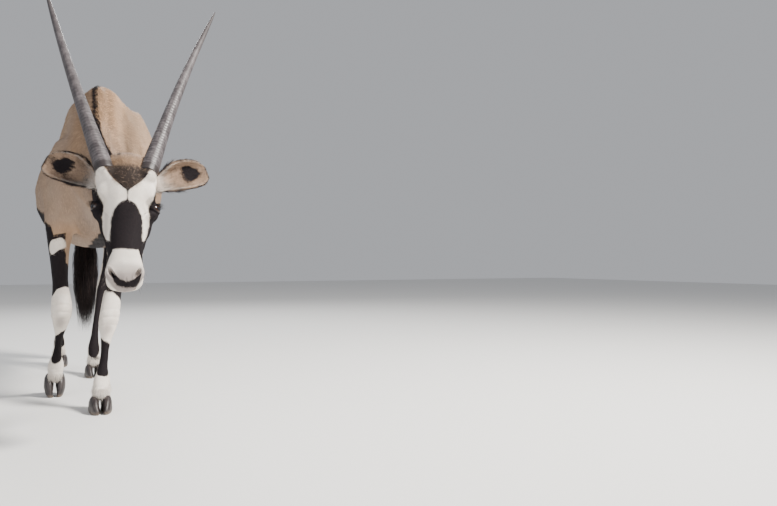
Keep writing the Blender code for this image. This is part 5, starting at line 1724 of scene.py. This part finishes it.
def makeLashes():
    s, e = fineHairs["lashes"], eyeSettings
    spots = np.random.default_rng(91)
    rows = []
    for sign in (1, -1):
        gaze, fore, up = eyeFrame(sign)
        eye = np.array(headSettings["eye"]) * (sign, 1, 1)
        for k in range(s["each"]):
            f = -0.72 + 1.40 * (k + spots.uniform(-0.3, 0.3)) / (s["each"] - 1)
            lid = max(0.05, 1 - abs(f / (e["halfLength"] * 1.05)) ** 1.8) ** (1 / 1.8)
            high = e["halfHeight"] * 1.06 * lid - 0.06 * f
            outward = fore * f + up * high + gaze * math.sqrt(max(0.05, 1 - f * f - high * high))
            rows.append((eye + outward * (headSettings["eyeRadius"] + 0.0016), gaze * 0.75 + up * 0.45 + fore * f * 0.4,
                         gaze * 0.75 - up * 0.20 + fore * f * 0.5, spots.uniform(*s["length"])))
    addFineHairs("lashes", rows, headPoints, "lash", spots)


def makeWhiskers(skinTree):
    s = fineHairs["whiskers"]
    spots = np.random.default_rng(97)
    rows = []
    for k in range(s["each"]):
        sign = 1 if k % 2 else -1
        along, deep = spots.uniform(0.285, 0.345), spots.uniform(0.030, 0.098)
        hit, normal, _, _ = skinTree.ray_cast(headPoint(sign * 0.15, along, deep), headDirection(-sign, 0, 0))
        if hit is None:
            continue
        length = spots.uniform(*s["length"])
        start = np.array(normal) * 0.8 + np.array(headDirection(sign * 0.2, 0.5, 0.4))
        end = start + np.array(headDirection(0, 0.6, 0.5))
        rows.append((np.array(hit) - np.array(normal) * 0.001, start, end, length))
    addFineHairs("whiskers", rows, None, "whisker", spots)


skin = makeSkin()
skinTree = finishSkin(skin)
print("skin marked")
for name in ("faceFur", "neckFur", "bodyFur", "legFur", "hoofCuff"):
    addCoat(name, skin.data)

eyeMaterial = makeEyeMaterial()
hornMaterial = makeHornMaterial()
hoofMaterial = makeHoofMaterial()
for side in sides:
    makeEye(side)
    makeHorn(side)
    addEarHair(side, makeEar(side))
print("eyes, horns and ears made")
for node in sorted(nodes):
    if node.startswith("hoof_"):
        makeHoof(node)
print("hooves made")
makeMane(skinTree)
makeDock()
makeTailHair()
makeLashes()
makeWhiskers(skinTree)
print("long hair made")

roomSettings = {
    "floorSize": 14.0, "floorColours": ((0.74, 0.735, 0.72), (0.66, 0.655, 0.64)),
    "sky": (0.93, 0.95, 1.0, 1.0), "strength": 0.48,
    # each light's place, target's height, size, power and colour
    "lights": {"keyLight": ((2.4, -2.4, 3.8), 0.7, 1.0, 620, (1.0, 0.965, 0.91)),
               "fillLight": ((-3.4, -2.6, 1.8), 0.6, 3.0, 55, (0.93, 0.96, 1.0)),
               "rimLight": ((0.6, 3.6, 3.6), 0.8, 2.0, 130, (1, 1, 1))},
}


def makeFloor():
    bm = bmesh.new()
    bmesh.ops.create_grid(bm, x_segments=2, y_segments=2, size=roomSettings["floorSize"])
    floor = addObject("floor", meshOf(bm, "floor"))
    made, tree, shader = newMaterial("paleFloor")
    grain = objectNoise(tree, 30, 3.0)
    setShader(tree, shader, blendColours(tree, times(tree, grain, 0.06), *roomSettings["floorColours"]), rough=0.85)
    floor.data.materials.append(made)


def makeLight(name, place, high, size, power, colour):
    data = bpy.data.lights.new(name, "AREA")
    data.shape = "DISK"
    data.size = size
    data.energy = power
    data.color = colour
    light = addObject(name, data)
    light.location = place
    light.rotation_euler = (Vector((0, 0, high)) - Vector(place)).to_track_quat("-Z", "Y").to_euler()


makeFloor()
for name, values in roomSettings["lights"].items():
    makeLight(name, *values)
world = bpy.data.worlds.new("paleRoom")
world.use_nodes = True
background = world.node_tree.nodes["Background"]
background.inputs["Color"].default_value = roomSettings["sky"]
background.inputs["Strength"].default_value = roomSettings["strength"]
scene.world = world

cameraSettings = {"place": (-0.1949, -2.5943, 0.496), "heading": -27.0, "pitch": math.degrees(math.atan(9 / 680)),
                  "lens": 680 / 777 * 36}
cameraData = bpy.data.cameras.new("camera")
cameraData.lens = cameraSettings["lens"]
cameraData.sensor_width = 36.0
cameraData.clip_end = 60.0
camera = addObject("camera", cameraData)
camera.location = Vector(cameraSettings["place"]) + Vector(bodyShift)
camera.rotation_euler = (math.radians(90 + cameraSettings["pitch"]), 0, math.radians(cameraSettings["heading"]))
scene.camera = camera
